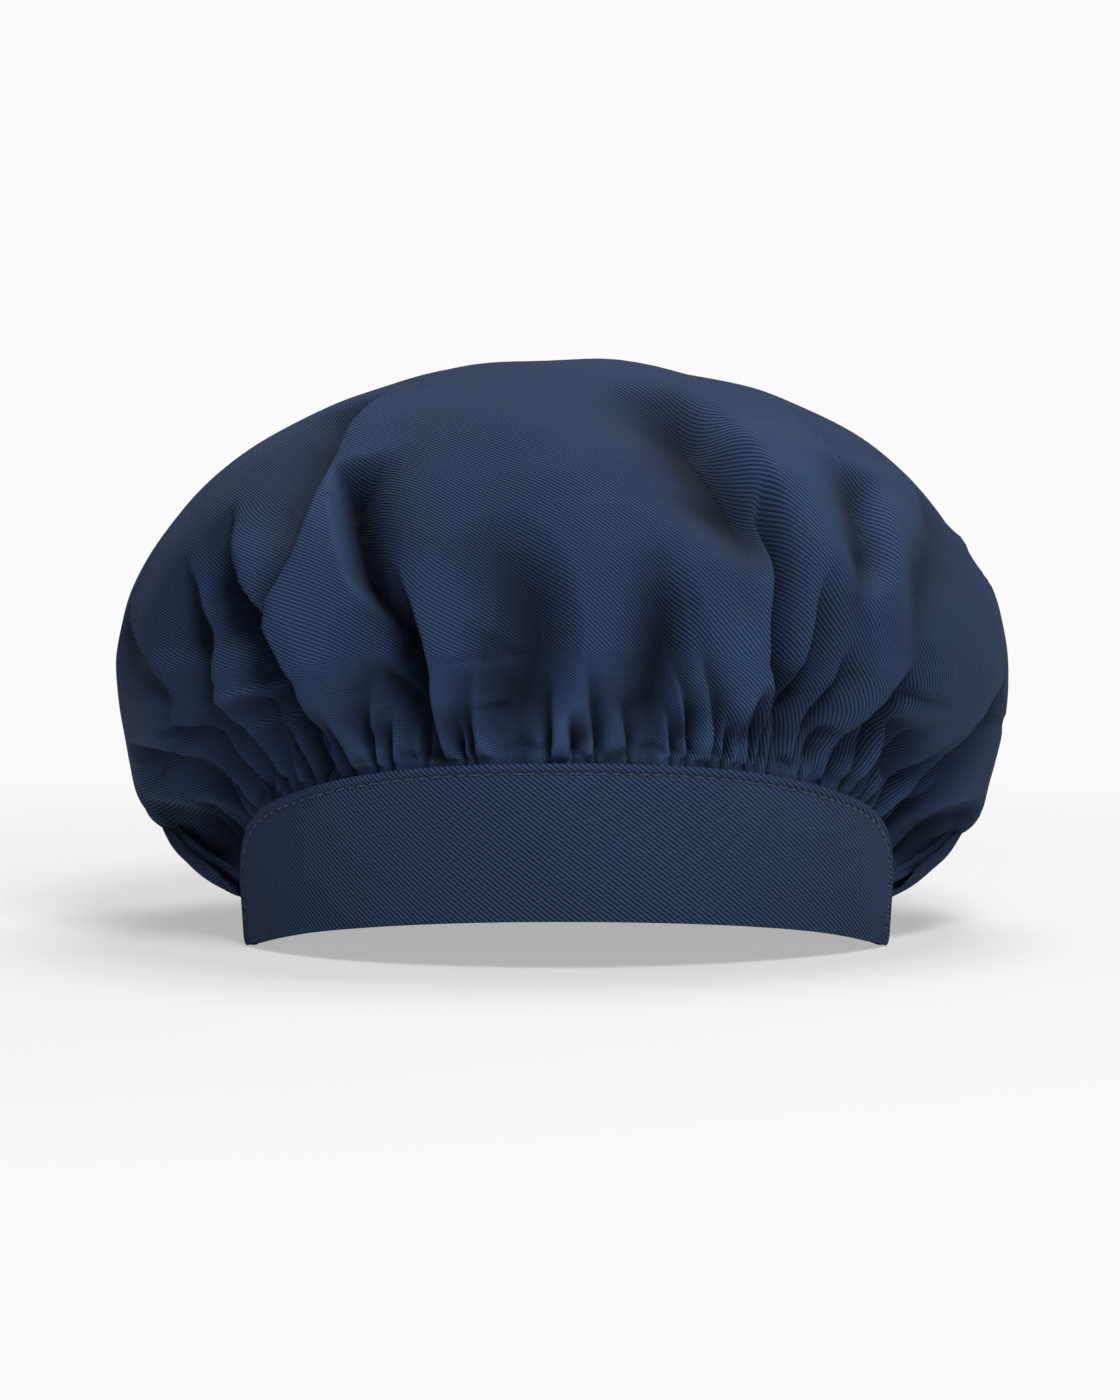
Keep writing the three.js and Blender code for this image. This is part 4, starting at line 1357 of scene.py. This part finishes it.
@dataclass
class Crown:
    """The gathered crown: one cloth with an outer and an inner face, open below."""

    form: CrownForm
    opening: Opening
    finish: TwillFinish
    columns: int = 700
    back_share: float = 0.34
    crowding: float = 2.2
    low_rows: int = 94
    high_rows: int = 9
    dense_rise: float = 0.86
    last_rise: float = 0.99
    row_power: float = 1.15
    inner_skip: int = 4
    free_from_seam: float = 0.014
    waves_full_at: float = 0.2
    rim_shares: tuple[float, ...] = (1.0, 0.66, 0.33, 0.0)

    def rises(self) -> Array:
        """Rises of the mesh's rings, closer together low down."""
        low = np.linspace(0.0, 1.0, self.low_rows) ** self.row_power * self.dense_rise
        high = np.linspace(self.dense_rise, self.last_rise, self.high_rows + 1)[1:]
        return np.concatenate([low[1:], high])

    def build(self) -> bpy.types.Object:
        """Build and dress the crown.

        Returns:
            The crown's object.
        """
        form = self.form
        gathering = Gathering(form, FRONT_FOLDS + BackFolds().folds() + SeamGathers().folds(form))
        rises = self.rises()
        turns = gathering.warp(gathering.columns(self.columns, self.back_share, self.crowding), rises)
        smooth_grid, normals, folded, shade = self.outer_face(gathering, turns, rises)

        start, _, tuck, inward = form.seam(turns[0])
        rim = np.stack([start + tuck * share for share in self.rim_shares])
        outer = np.concatenate([rim, folded])
        below = self.inner_face(smooth_grid, normals, folded)
        inner = np.concatenate([rim + inward[None] * form.cloth, below])
        hems = len(rim)
        highest = len(outer) - 1
        chosen = [*range(hems), *range(hems + self.inner_skip, highest, self.inner_skip), highest]
        top = np.array([form.middle_x, form.middle_y, form.height])
        flat = self.flat_places(outer, np.concatenate([turns[:1]] * hems + [turns]), top)
        shade = np.concatenate([np.repeat(shade[:1], hems, axis=0), shade])

        rings = np.concatenate([inner[chosen][::-1], outer])
        poles = np.stack([top - [0.0, 0.0, form.cloth], top])
        points = np.concatenate([rings.reshape(-1, 3), poles])
        uv = np.concatenate([np.concatenate([flat[chosen][::-1], flat]).reshape(-1, 2), np.zeros((2, 2))])
        # Painted shade for each point, darkening the colour in the folds' valleys; the inner face takes the
        # outer face's painted shade.
        hollow = np.concatenate([shade[chosen][::-1].ravel(), shade.ravel(), [0.0, 0.0]])
        faces = capped_rings(len(rings), self.columns)
        made = make_mesh("crown_cloth", self.opening.metres(points), faces, uv * MM, self.finish.material())
        made.data.attributes.new("hollow", "FLOAT", "POINT").data.foreach_set("value", hollow)
        return made

    def outer_face(
        self, gathering: Gathering, turns: Array, rises: Array
    ) -> tuple[Array, Array, Array, Array]:
        """Work out the outer face above the seam.

        Args:
            gathering: the crown's folds.
            turns: the meridians of its points, a row for each ring.
            rises: the rises of the rings.

        Returns:
            The form without folds, its outward unit normals, the folded face, and its painted shade.
        """
        form = self.form
        shape = (*turns.shape, 3)
        turn, rise = turns.ravel(), np.repeat(rises, turns.shape[1])
        points = form.surface(turn, rise)
        grid = points.reshape(shape)
        start = form.seam(turns[0])[0]
        normals = self.grid_normals(np.concatenate([start[None], grid]))[1:]
        outward = normals.reshape(-1, 3)
        moved, shade = gathering.move(Ground.of(form, turn, rise), outward)
        free = smooth(rise / self.free_from_seam)
        waves = ClothWaves().height_at(points) * smooth(rise / self.waves_full_at)
        folded = points + moved * free[:, None] + outward * waves[:, None]
        return grid, normals, folded.reshape(shape), shade.reshape(turns.shape)

    def inner_face(self, smooth_grid: Array, normals: Array, outer: Array) -> Array:
        """Lay the inner face under the outer one, below every ring that it leaves out.

        Args:
            smooth_grid: the form without folds, a row for each ring.
            normals: its outward unit normals.
            outer: the folded outer face.

        Returns:
            The inner face's points.
        """
        away = outer - smooth_grid
        height = (away * normals).sum(axis=-1)
        lateral = away - normals * height[..., None]
        lowest = height.copy()
        for step in range(1, self.inner_skip + 1):
            lowest[step:] = np.minimum(lowest[step:], height[:-step])
            lowest[:-step] = np.minimum(lowest[:-step], height[step:])
        beside = np.minimum(np.roll(lowest, 1, axis=1), np.roll(lowest, -1, axis=1))
        lowest = np.minimum(lowest, beside) - self.form.cloth
        return smooth_grid + lateral + normals * lowest[..., None]

    @staticmethod
    def grid_normals(grid: Array) -> Array:
        """Outward unit normals of a grid whose rows are rings from the seam up."""
        across = np.roll(grid, -1, axis=1) - np.roll(grid, 1, axis=1)
        up = np.gradient(grid, axis=0)
        return unit(np.cross(across, up))

    @staticmethod
    def flat_places(outer: Array, turns: Array, top: Array) -> Array:
        """Places of the mesh's points on the flat round cut, measured from its middle.

        Args:
            outer: the outer face's rings, from the seam up.
            turns: the meridians of its points, in degrees.
            top: the crown's top.

        Returns:
            Two coordinates in millimetres for each point.
        """
        closed = np.concatenate([outer, np.broadcast_to(top, outer[:1].shape)])
        shifts = (3, 0, -3)
        smoothed = sum(np.roll(closed, shift, axis=1) for shift in shifts) / len(shifts)
        steps = np.linalg.norm(np.diff(smoothed, axis=0), axis=2).mean(axis=1)
        reach = np.cumsum(steps[::-1])[::-1][:, None]
        spread = turns * DEG * CLOTH_TURN
        return np.stack([reach * np.sin(spread) / CLOTH_TURN, -reach * np.cos(spread)], axis=-1)


@dataclass
class FrontBand:
    """The stiff front band, with a stitched groove inside its upper edge."""

    outline: BandOutline
    opening: Opening
    finish: TwillFinish
    half_columns: int = 170
    fill_rows: int = 26
    border: float = 8.0
    groove_at: float = 2.7
    groove_depth: float = 0.42
    groove_width: float = 0.55
    lip_swell: float = 0.28
    lip_at: float = 1.2
    lip_width: float = 0.8
    edge_round: float = 0.9
    edge_steps: int = 3
    sharp_edge: float = 60.0
    weld: float = 0.02
    foot_blend: float = 16.0
    bottom_power: float = 0.9
    fill_inside: float = 30.0
    wave_height: float = 0.22
    wave_lengths: tuple[float, float, float] = (17.0, 11.0, 60.0)
    wave_start: float = 0.4
    wave_from: float = 0.6
    stitch_stop: float = 5.0
    stitch_samples: int = 400
    thread_lift: float = 0.22
    border_rows: tuple[float, ...] = (0, 0.8, 1.3, 1.8, 2.1, 2.4, 2.7, 3.0, 3.3, 3.6, 4.1, 5.0, 6.4, 8.0)

    def relief(self, inside: Array) -> Array:
        """Height of the outer face above the plain cylinder at distances inside the edge."""
        groove = -self.groove_depth * np.exp(-(((inside - self.groove_at) / self.groove_width) ** 2))
        lip = self.lip_swell * np.exp(-(((inside - self.lip_at) / self.lip_width) ** 2))
        return groove + lip

    def unevenness(self, s: Array, h: Array, inside: Array) -> Array:
        """Height of the gentle waves that keep the band's middle from looking like sheet metal."""
        along, up, slant = self.wave_lengths
        wave = self.wave_height * np.sin(s / along + self.wave_start) * np.sin(h / up + s / slant)
        return wave * smooth(inside / self.border - self.wave_from)

    def flat_grid(self) -> tuple[Array, Array]:
        """Lay out the band flat.

        Returns:
            Places in s and h, rows from the upper edge to the bottom edge, and the distance of
            each inside the edge.
        """
        outline = self.outline
        edge = outline.edge()
        steps = np.arange(-self.half_columns, self.half_columns + 1)
        share = np.abs(steps) / self.half_columns
        side = np.where(steps < 0, -1.0, 1.0)
        length = edge.length * share
        point, along = edge.at(length)
        inward = np.stack([along[:, 1], -along[:, 0]], axis=-1)
        near_foot = outline.bottom(np.array([outline.foot_s - 1.0, outline.foot_s]))
        foot_way = unit(np.array([-1.0, near_foot[0] - near_foot[1]]))
        past_foot = smooth((edge.length - length) / self.foot_blend)
        way = unit(mix(np.broadcast_to(foot_way, inward.shape), inward, past_foot))
        bottom_s = (outline.foot_s - self.border) * share**self.bottom_power
        bottom = np.stack([bottom_s, outline.bottom(bottom_s)], axis=-1)
        rows, inside = [], []
        for distance in self.border_rows:
            rows.append(point + way * distance)
            inside.append(np.full(len(share), float(distance)))
        ends = rows[-1].copy()
        ends[share == 1.0] = bottom[share == 1.0]
        rows[-1] = ends
        for i in range(1, self.fill_rows + 1):
            k = i / self.fill_rows
            rows.append(ends * (1 - k) + bottom * k)
            inside.append(np.full(len(share), self.border + self.fill_inside * k))
        grid = np.stack(rows)
        grid[..., 0] *= side
        return grid, np.stack(inside)

    def build(self) -> bpy.types.Object:
        """Build and dress the band.

        Returns:
            The band's object.
        """
        grid, inside = self.flat_grid()
        s, h = grid[..., 0].ravel(), grid[..., 1].ravel()
        rows, columns = inside.shape
        inside = inside.ravel()
        radius = self.outline.radius + self.relief(inside) + self.unevenness(s, h, inside)
        points = self.outline.bend(s, h, radius)
        i, j = np.meshgrid(np.arange(rows - 1), np.arange(columns - 1), indexing="ij")
        first = (i * columns + j).ravel()
        quads = np.stack([first, first + columns, first + columns + 1, first + 1], axis=-1)
        uv = np.stack([s, h], axis=-1) * MM
        made = make_mesh("band_cloth", self.opening.metres(points), quads, uv, self.finish.material())
        weld = made.modifiers.new("weld", "WELD")
        weld.merge_threshold = self.weld * MM
        wall = made.modifiers.new("wall", "SOLIDIFY")
        wall.thickness = self.outline.thickness * MM
        wall.offset = -1.0
        round_edge = made.modifiers.new("round_edge", "BEVEL")
        round_edge.width = self.edge_round * MM
        round_edge.segments = self.edge_steps
        round_edge.limit_method = "ANGLE"
        round_edge.angle_limit = self.sharp_edge * DEG
        made = bake(made)
        self.trim(made.data)
        return made

    def trim(self, mesh: bpy.types.Mesh) -> None:
        """Keep the rounded edge inside the band's wall and above its bottom edge.

        Args:
            mesh: the band's mesh.
        """
        outline = self.outline
        points = np.empty(len(mesh.vertices) * 3)
        mesh.vertices.foreach_get("co", points)
        points = points.reshape(-1, 3) / MM - [self.opening.x, self.opening.y, 0.0]
        angle = np.arctan2(points[:, 0], -points[:, 1])
        s = np.minimum(np.abs(angle) * outline.radius, outline.foot_s)
        h = np.maximum(points[:, 2], outline.bottom(s))
        least = outline.radius - outline.thickness - self.lip_swell
        most = outline.radius + 2 * self.lip_swell
        away = np.clip(np.hypot(points[:, 0], points[:, 1]), least, most)
        kept = outline.bend(angle * outline.radius, h, away)
        mesh.vertices.foreach_set("co", self.opening.metres(kept).ravel())
        mesh.update()

    def stitch_path(self) -> Array:
        """Points of the topstitching's path, lying in the groove."""
        edge = self.outline.edge()
        length = np.linspace(0.0, edge.length - self.stitch_stop, self.stitch_samples)
        point, along = edge.at(length)
        line = point + np.stack([along[:, 1], -along[:, 0]], axis=-1) * self.groove_at
        left = line[::-1] * [-1.0, 1.0]
        both = np.concatenate([left[:-1], line])
        lift = self.outline.radius - self.groove_depth + self.thread_lift
        return self.outline.bend(both[:, 0], both[:, 1], np.full(len(both), lift))


def bake(piece: bpy.types.Object) -> bpy.types.Object:
    """Turn a piece's modifiers into plain mesh.

    Args:
        piece: the piece.

    Returns:
        The same piece without modifiers.
    """
    bpy.context.view_layer.update()
    evaluated = piece.evaluated_get(bpy.context.evaluated_depsgraph_get())
    mesh = bpy.data.meshes.new_from_object(evaluated)
    piece.modifiers.clear()
    old = piece.data
    piece.data = mesh
    bpy.data.meshes.remove(old)
    mesh.name = piece.name
    return piece


@dataclass
class ElasticHem:
    """The elastic hem: a casing on edge, gathered into small ripples."""

    plan: HemPlan
    opening: Opening
    finish: TwillFinish
    steps: int = 900
    section: int = 22
    corner: float = 1.2
    ripple: float = 0.42
    ripple_step: float = 5.2
    end_flat: float = 16.0
    end_rise: float = 12.0
    end_lift: float = 0.45
    squareness: float = 0.35
    even_ripple: float = 0.55
    ripple_stretches: tuple[float, ...] = (0.72, 1.0, 1.37, 2.1)
    ripple_share: float = 2.4
    stitch_reach: float = 0.93
    stitch_drop: float = 1.7
    stitch_ripple: float = 0.75
    stitch_samples: int = 700
    thread_lift: float = 0.05
    seed: int = 3

    def place(self, signed: Array) -> tuple[Array, Array]:
        """Middle line and outward direction.

        Args:
            signed: where, from -1 at the left front end through 0 at the back to 1.

        Returns:
            Points in x and y, and outward unit vectors.
        """
        half = self.plan.half()
        point, along = half.at(half.length * (1 - np.abs(signed)))
        side = np.where(signed < 0, -1.0, 1.0)
        mirror = np.stack([side, np.ones_like(side)], axis=-1)
        return point * mirror, np.stack([along[:, 1], -along[:, 0]], axis=-1) * mirror

    def ripples(self, signed: Array) -> Array:
        """Height of the gathers along the hem, in millimetres."""
        chance = np.random.default_rng(self.seed)
        length = self.plan.half().length
        total = np.zeros_like(signed)
        for stretch in self.ripple_stretches:
            phase = chance.uniform(0.0, 2 * math.pi)
            total += np.sin(signed * length * 2 * math.pi / (self.ripple_step * stretch) + phase)
        return total * self.ripple / self.ripple_share

    def build(self) -> bpy.types.Object:
        """Build and dress the hem.

        Returns:
            The hem's object.
        """
        signed = np.linspace(-1.0, 1.0, self.steps)
        middle, out = self.place(signed)
        ripples = self.ripples(signed)
        from_end = self.plan.half().length * (1 - np.abs(signed))
        lifted = 1 - smooth((from_end - self.end_flat) / self.end_rise)
        angle = np.linspace(0.0, 2 * math.pi, self.section, endpoint=False)
        half_w, half_h = self.plan.thickness / 2, self.plan.height / 2
        wide = np.sign(np.cos(angle)) * np.abs(np.cos(angle)) ** self.squareness
        tall = np.sign(np.sin(angle)) * np.abs(np.sin(angle)) ** self.squareness
        rings = []
        for w, h in zip(wide, tall):
            swell = ripples * (self.even_ripple + (1 - self.even_ripple) * abs(h)) * w
            xy = middle + out * (half_w * w + swell)[:, None]
            z = half_h + half_h * h
            rings.append(xyz(xy[:, 0], xy[:, 1], z + (self.plan.height - z) * self.end_lift * lifted))
        grid = np.stack(rings, axis=1)
        length = self.plan.half().length * signed
        around = np.linspace(0.0, 2 * (self.plan.thickness + self.plan.height), self.section, endpoint=False)
        uv = np.stack(np.broadcast_arrays(length[:, None], around[None, :]), axis=-1).reshape(-1, 2)
        points = np.concatenate([grid.reshape(-1, 3), grid[[0, -1]].mean(axis=1)])
        uv = np.concatenate([uv, uv[[0, -1]]]) * MM
        faces = capped_rings(self.steps, self.section)
        return make_mesh("hem_cloth", self.opening.metres(points), faces, uv, self.finish.material())

    def stitch_path(self) -> Array:
        """Points of the stitch line along the casing's upper edge."""
        signed = np.linspace(-self.stitch_reach, self.stitch_reach, self.stitch_samples)
        middle, out = self.place(signed)
        reach = self.plan.thickness / 2 + self.ripples(signed) * self.stitch_ripple + self.thread_lift
        xy = middle + out * reach[:, None]
        return xyz(xy[:, 0], xy[:, 1], np.full(len(signed), self.plan.height - self.stitch_drop))


@dataclass(frozen=True)
class Stitching:
    """A row of stitches along a path, made by Geometry Nodes."""

    name: str
    pitch: float
    length: float
    thread: float
    wander: float = 0.06
    segments: int = 8
    rings: int = 7
    seed: int = 4

    def tree(self, finish: bpy.types.Material) -> bpy.types.NodeTree:
        """Build the node tree.

        Args:
            finish: the thread's material.

        Returns:
            The geometry node tree.
        """
        tree = bpy.data.node_groups.new(f"{self.name}_nodes", "GeometryNodeTree")
        face = tree.interface
        face.new_socket("Geometry", in_out="INPUT", socket_type="NodeSocketGeometry")
        for name in ("Pitch", "Length", "Thread", "Wander"):
            face.new_socket(name, in_out="INPUT", socket_type="NodeSocketFloat")
        face.new_socket("Seed", in_out="INPUT", socket_type="NodeSocketInt")
        face.new_socket("Geometry", in_out="OUTPUT", socket_type="NodeSocketGeometry")
        make = NodeBuilder(tree)
        given = make.add("NodeGroupInput")
        path = make.add("GeometryNodeMeshToCurve", i0=given.outputs["Geometry"])
        pitch = given.outputs["Pitch"]
        spaced = make.add(
            "GeometryNodeCurveToPoints", {"mode": "LENGTH"}, Curve=path.outputs[0], Length=pitch
        )
        ball = make.add("GeometryNodeMeshUVSphere", Segments=self.segments, Rings=self.rings, Radius=0.5)
        round_size = make.math("MULTIPLY", given.outputs["Thread"], 2.0)
        size = make.add("ShaderNodeCombineXYZ", i0=round_size, i1=round_size, i2=given.outputs["Length"])
        stitch = make.add("GeometryNodeTransform", Geometry=ball.outputs[0], Scale=size.outputs[0])
        smooth_stitch = make.add("GeometryNodeSetShadeSmooth", i0=stitch.outputs[0])
        high = given.outputs["Wander"]
        low = make.math("MULTIPLY", high, -1.0)
        least = make.add("ShaderNodeCombineXYZ", i0=low, i1=low, i2=low)
        most = make.add("ShaderNodeCombineXYZ", i0=high, i1=high, i2=high)
        sway = make.add(
            "FunctionNodeRandomValue",
            {"data_type": "FLOAT_VECTOR"},
            Min=least.outputs[0],
            Max=most.outputs[0],
            Seed=given.outputs["Seed"],
        )
        turn = make.add("FunctionNodeEulerToRotation", i0=sway.outputs[0])
        aim = make.add("FunctionNodeRotateRotation", i0=spaced.outputs["Rotation"], i1=turn.outputs[0])
        placed = make.add(
            "GeometryNodeInstanceOnPoints",
            Points=spaced.outputs["Points"],
            Instance=smooth_stitch.outputs[0],
            Rotation=aim.outputs[0],
        )
        real = make.add("GeometryNodeRealizeInstances", i0=placed.outputs[0])
        dressed = make.add("GeometryNodeSetMaterial", i0=real.outputs[0], Material=finish)
        make.add("NodeGroupOutput", i0=dressed.outputs[0])
        return tree

    def sew(self, path: Array, opening: Opening, finish: bpy.types.Material) -> bpy.types.Object:
        """Sew the stitches along a path.

        Args:
            path: the path's points in millimetres about the opening's centre.
            opening: the opening's place.
            finish: the thread's material.

        Returns:
            The stitches' object, one plain mesh.
        """
        mesh = bpy.data.meshes.new(self.name)
        edges = [(i, i + 1) for i in range(len(path) - 1)]
        mesh.from_pydata(opening.metres(path).tolist(), edges, [])
        row = bpy.data.objects.new(self.name, mesh)
        bpy.context.scene.collection.objects.link(row)
        nodes = row.modifiers.new("stitches", "NODES")
        nodes.node_group = self.tree(finish)
        given = {
            "Pitch": self.pitch * MM,
            "Length": self.length * MM,
            "Thread": self.thread * MM,
            "Wander": self.wander,
            "Seed": self.seed,
        }
        for item in nodes.node_group.interface.items_tree:
            if item.in_out == "INPUT" and item.name in given:
                nodes[item.identifier] = given[item.name]
        return bake(row)


@dataclass(frozen=True)
class Lamp:
    """A soft square light that faces the cap, in metres and watts."""

    name: str
    place: tuple[float, float, float]
    size: float
    power: float
    aim_height: float = 0.08

    def build(self) -> None:
        """Add the light to the scene."""
        data = bpy.data.lights.new(self.name, "AREA")
        data.shape = "SQUARE"
        data.size = self.size
        data.energy = self.power
        lamp = bpy.data.objects.new(self.name, data)
        lamp.location = self.place
        toward = Vector((0.0, 0.0, self.aim_height)) - lamp.location
        lamp.rotation_euler = toward.to_track_quat("-Z", "Y").to_euler()
        bpy.context.scene.collection.objects.link(lamp)


@dataclass(frozen=True)
class Studio:
    """Pale floor, soft light and the camera at the photograph's angle."""

    opening: Opening
    lamps: tuple[Lamp, ...] = (
        Lamp("key", (0.36, -1.05, 1.40), size=0.6, power=18.0),
        Lamp("front", (0.00, -1.80, 0.50), size=1.0, power=1.6),
        Lamp("overhead", (0.20, 0.62, 1.45), size=0.8, power=14.0),
    )
    ambient: float = 0.10
    distance: float = 1500.0
    elevation: float = 4.0
    aim: tuple[float, float, float] = (-1.8, 0.0, 64.8)
    view_height: float = 392.0
    sensor: float = 36.0
    white: float = 0.956
    # Glow that the floor adds near the cap, a painted light that keeps its cast shadow pale.
    shade_floor: float = 0.43
    floor_reach: float = 6.0
    floor_drop: float = 0.0002
    floor_near: float = 0.22
    floor_far: float = 0.60
    floor_gray: float = 0.47
    bounce_gray: float = 0.80

    def camera(self) -> bpy.types.Object:
        """Make the camera.

        Returns:
            The camera's object.
        """
        data = bpy.data.cameras.new("camera")
        data.sensor_fit = "VERTICAL"
        data.sensor_height = self.sensor
        data.lens = self.sensor * self.distance / self.view_height
        camera = bpy.data.objects.new("camera", data)
        target = Vector(self.opening.metres(np.array(self.aim)))
        back = Vector((0.0, -math.cos(self.elevation * DEG), math.sin(self.elevation * DEG)))
        camera.location = target + back * self.distance * MM
        camera.rotation_euler = (-back).to_track_quat("-Z", "Y").to_euler()
        bpy.context.scene.collection.objects.link(camera)
        bpy.context.scene.camera = camera
        return camera

    def lights(self) -> None:
        """Add the lights and the pale surroundings."""
        for lamp in self.lamps:
            lamp.build()
        world = bpy.data.worlds.new("studio")
        bpy.context.scene.world = world
        world.use_nodes = True
        world.node_tree.nodes.clear()
        make = NodeBuilder(world.node_tree)
        rays = make.add("ShaderNodeLightPath")
        seen = make.add("ShaderNodeBackground", Color=self.gray(self.white), Strength=1.0)
        around = make.add("ShaderNodeBackground", Color=self.gray(1.0), Strength=self.ambient)
        both = make.add("ShaderNodeMixShader", i0=rays.outputs["Is Camera Ray"], i1=around.outputs[0])
        make.tree.links.new(seen.outputs[0], both.inputs[2])
        make.add("ShaderNodeOutputWorld", Surface=both.outputs[0])

    @staticmethod
    def gray(value: float) -> tuple[float, float, float, float]:
        """A neutral colour of one value."""
        return value, value, value, 1.0

    def floor(self) -> bpy.types.Object:
        """Make the pale floor, which melts into the surroundings further out. Near the cap an even
        glow, a painted light, keeps its cast shadow pale.

        Returns:
            The floor's object.
        """
        reach = self.floor_reach
        corners = [(-reach, -reach, 0), (reach, -reach, 0), (reach, reach, 0), (-reach, reach, 0)]
        mesh = bpy.data.meshes.new("floor")
        mesh.from_pydata(corners, [], [(0, 1, 2, 3)])
        floor = bpy.data.objects.new("floor", mesh)
        floor.location.z = -self.floor_drop
        bpy.context.scene.collection.objects.link(floor)
        made, make = blank_material("pale_floor")
        place = make.add("ShaderNodeTexCoord")
        away = make.add("ShaderNodeVectorMath", {"operation": "LENGTH"}, i0=place.outputs["Object"])
        share = make.add("ShaderNodeMapRange", {"interpolation_type": "SMOOTHSTEP"}, i0=away.outputs["Value"])
        share.inputs["From Min"].default_value = self.floor_near
        share.inputs["From Max"].default_value = self.floor_far
        glow = make.add("ShaderNodeEmission", Color=self.gray(self.white), Strength=1.0)
        # Painted light: an even glow under the diffuse floor that lifts its cast shadow.
        base = make.add("ShaderNodeEmission", Color=self.gray(1.0), Strength=self.shade_floor)
        matt = make.add("ShaderNodeBsdfDiffuse", Color=self.gray(self.floor_gray))
        near = make.add("ShaderNodeAddShader", i0=base.outputs[0], i1=matt.outputs[0])
        both = make.add("ShaderNodeMixShader", i0=share.outputs[0], i1=near.outputs[0], i2=glow.outputs[0])
        rays = make.add("ShaderNodeLightPath")
        plain = make.add("ShaderNodeBsdfDiffuse", Color=self.gray(self.bounce_gray))
        seen = make.add("ShaderNodeMixShader", i0=rays.outputs["Is Camera Ray"], i1=plain.outputs[0])
        make.tree.links.new(both.outputs[0], seen.inputs[2])
        make.add("ShaderNodeOutputMaterial", Surface=seen.outputs[0])
        mesh.materials.append(made)
        return floor

    def build(self) -> None:
        """Set the whole studio up."""
        self.camera()
        self.lights()
        self.floor()
        bpy.context.scene.view_settings.view_transform = "Standard"


def main() -> None:
    """Build the cap and its studio, piece by piece."""
    logging.basicConfig(level=logging.INFO, format="%(message)s")
    outline = BandOutline()
    plan = HemPlan()
    opening = Opening.from_frame(outline)
    Studio(opening).build()

    crown_twill = TwillFinish("crown_twill", (0.0225, 0.0410, 0.0930), rib_contrast=1.1)
    band_twill = TwillFinish("band_twill", (0.0270, 0.0470, 0.1030))
    hem_twill = TwillFinish("hem_twill", (0.0250, 0.0420, 0.0920))

    band = FrontBand(outline, opening, band_twill)
    crown = Crown(CrownForm(outline, plan), opening, crown_twill)
    hem = ElasticHem(plan, opening, hem_twill)
    pieces = [
        (band.build(), "front_band", band_twill.name),
        (crown.build(), "crown", crown_twill.name),
        (hem.build(), "elastic_hem", hem_twill.name),
    ]
    for piece, node, slot in pieces:
        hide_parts(node)
        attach(piece, "root")
        LOG.info("%s stands for %s, %d faces", piece.name, node, len(piece.data.polygons))

    thread = ThreadFinish().material()
    topstitching = Stitching("topstitching", pitch=3.75, length=2.9, thread=0.3)
    hem_stitching = Stitching("hem_stitching", pitch=3.4, length=2.7, thread=0.26)
    rows = [
        (topstitching.sew(band.stitch_path(), opening, thread), band_twill.name),
        (hem_stitching.sew(hem.stitch_path(), opening, thread), hem_twill.name),
    ]
    for row, slot in rows:
        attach(row, "root")
        LOG.info("%s, %d faces", row.name, len(row.data.polygons))


if __name__ == "__main__":
    main()
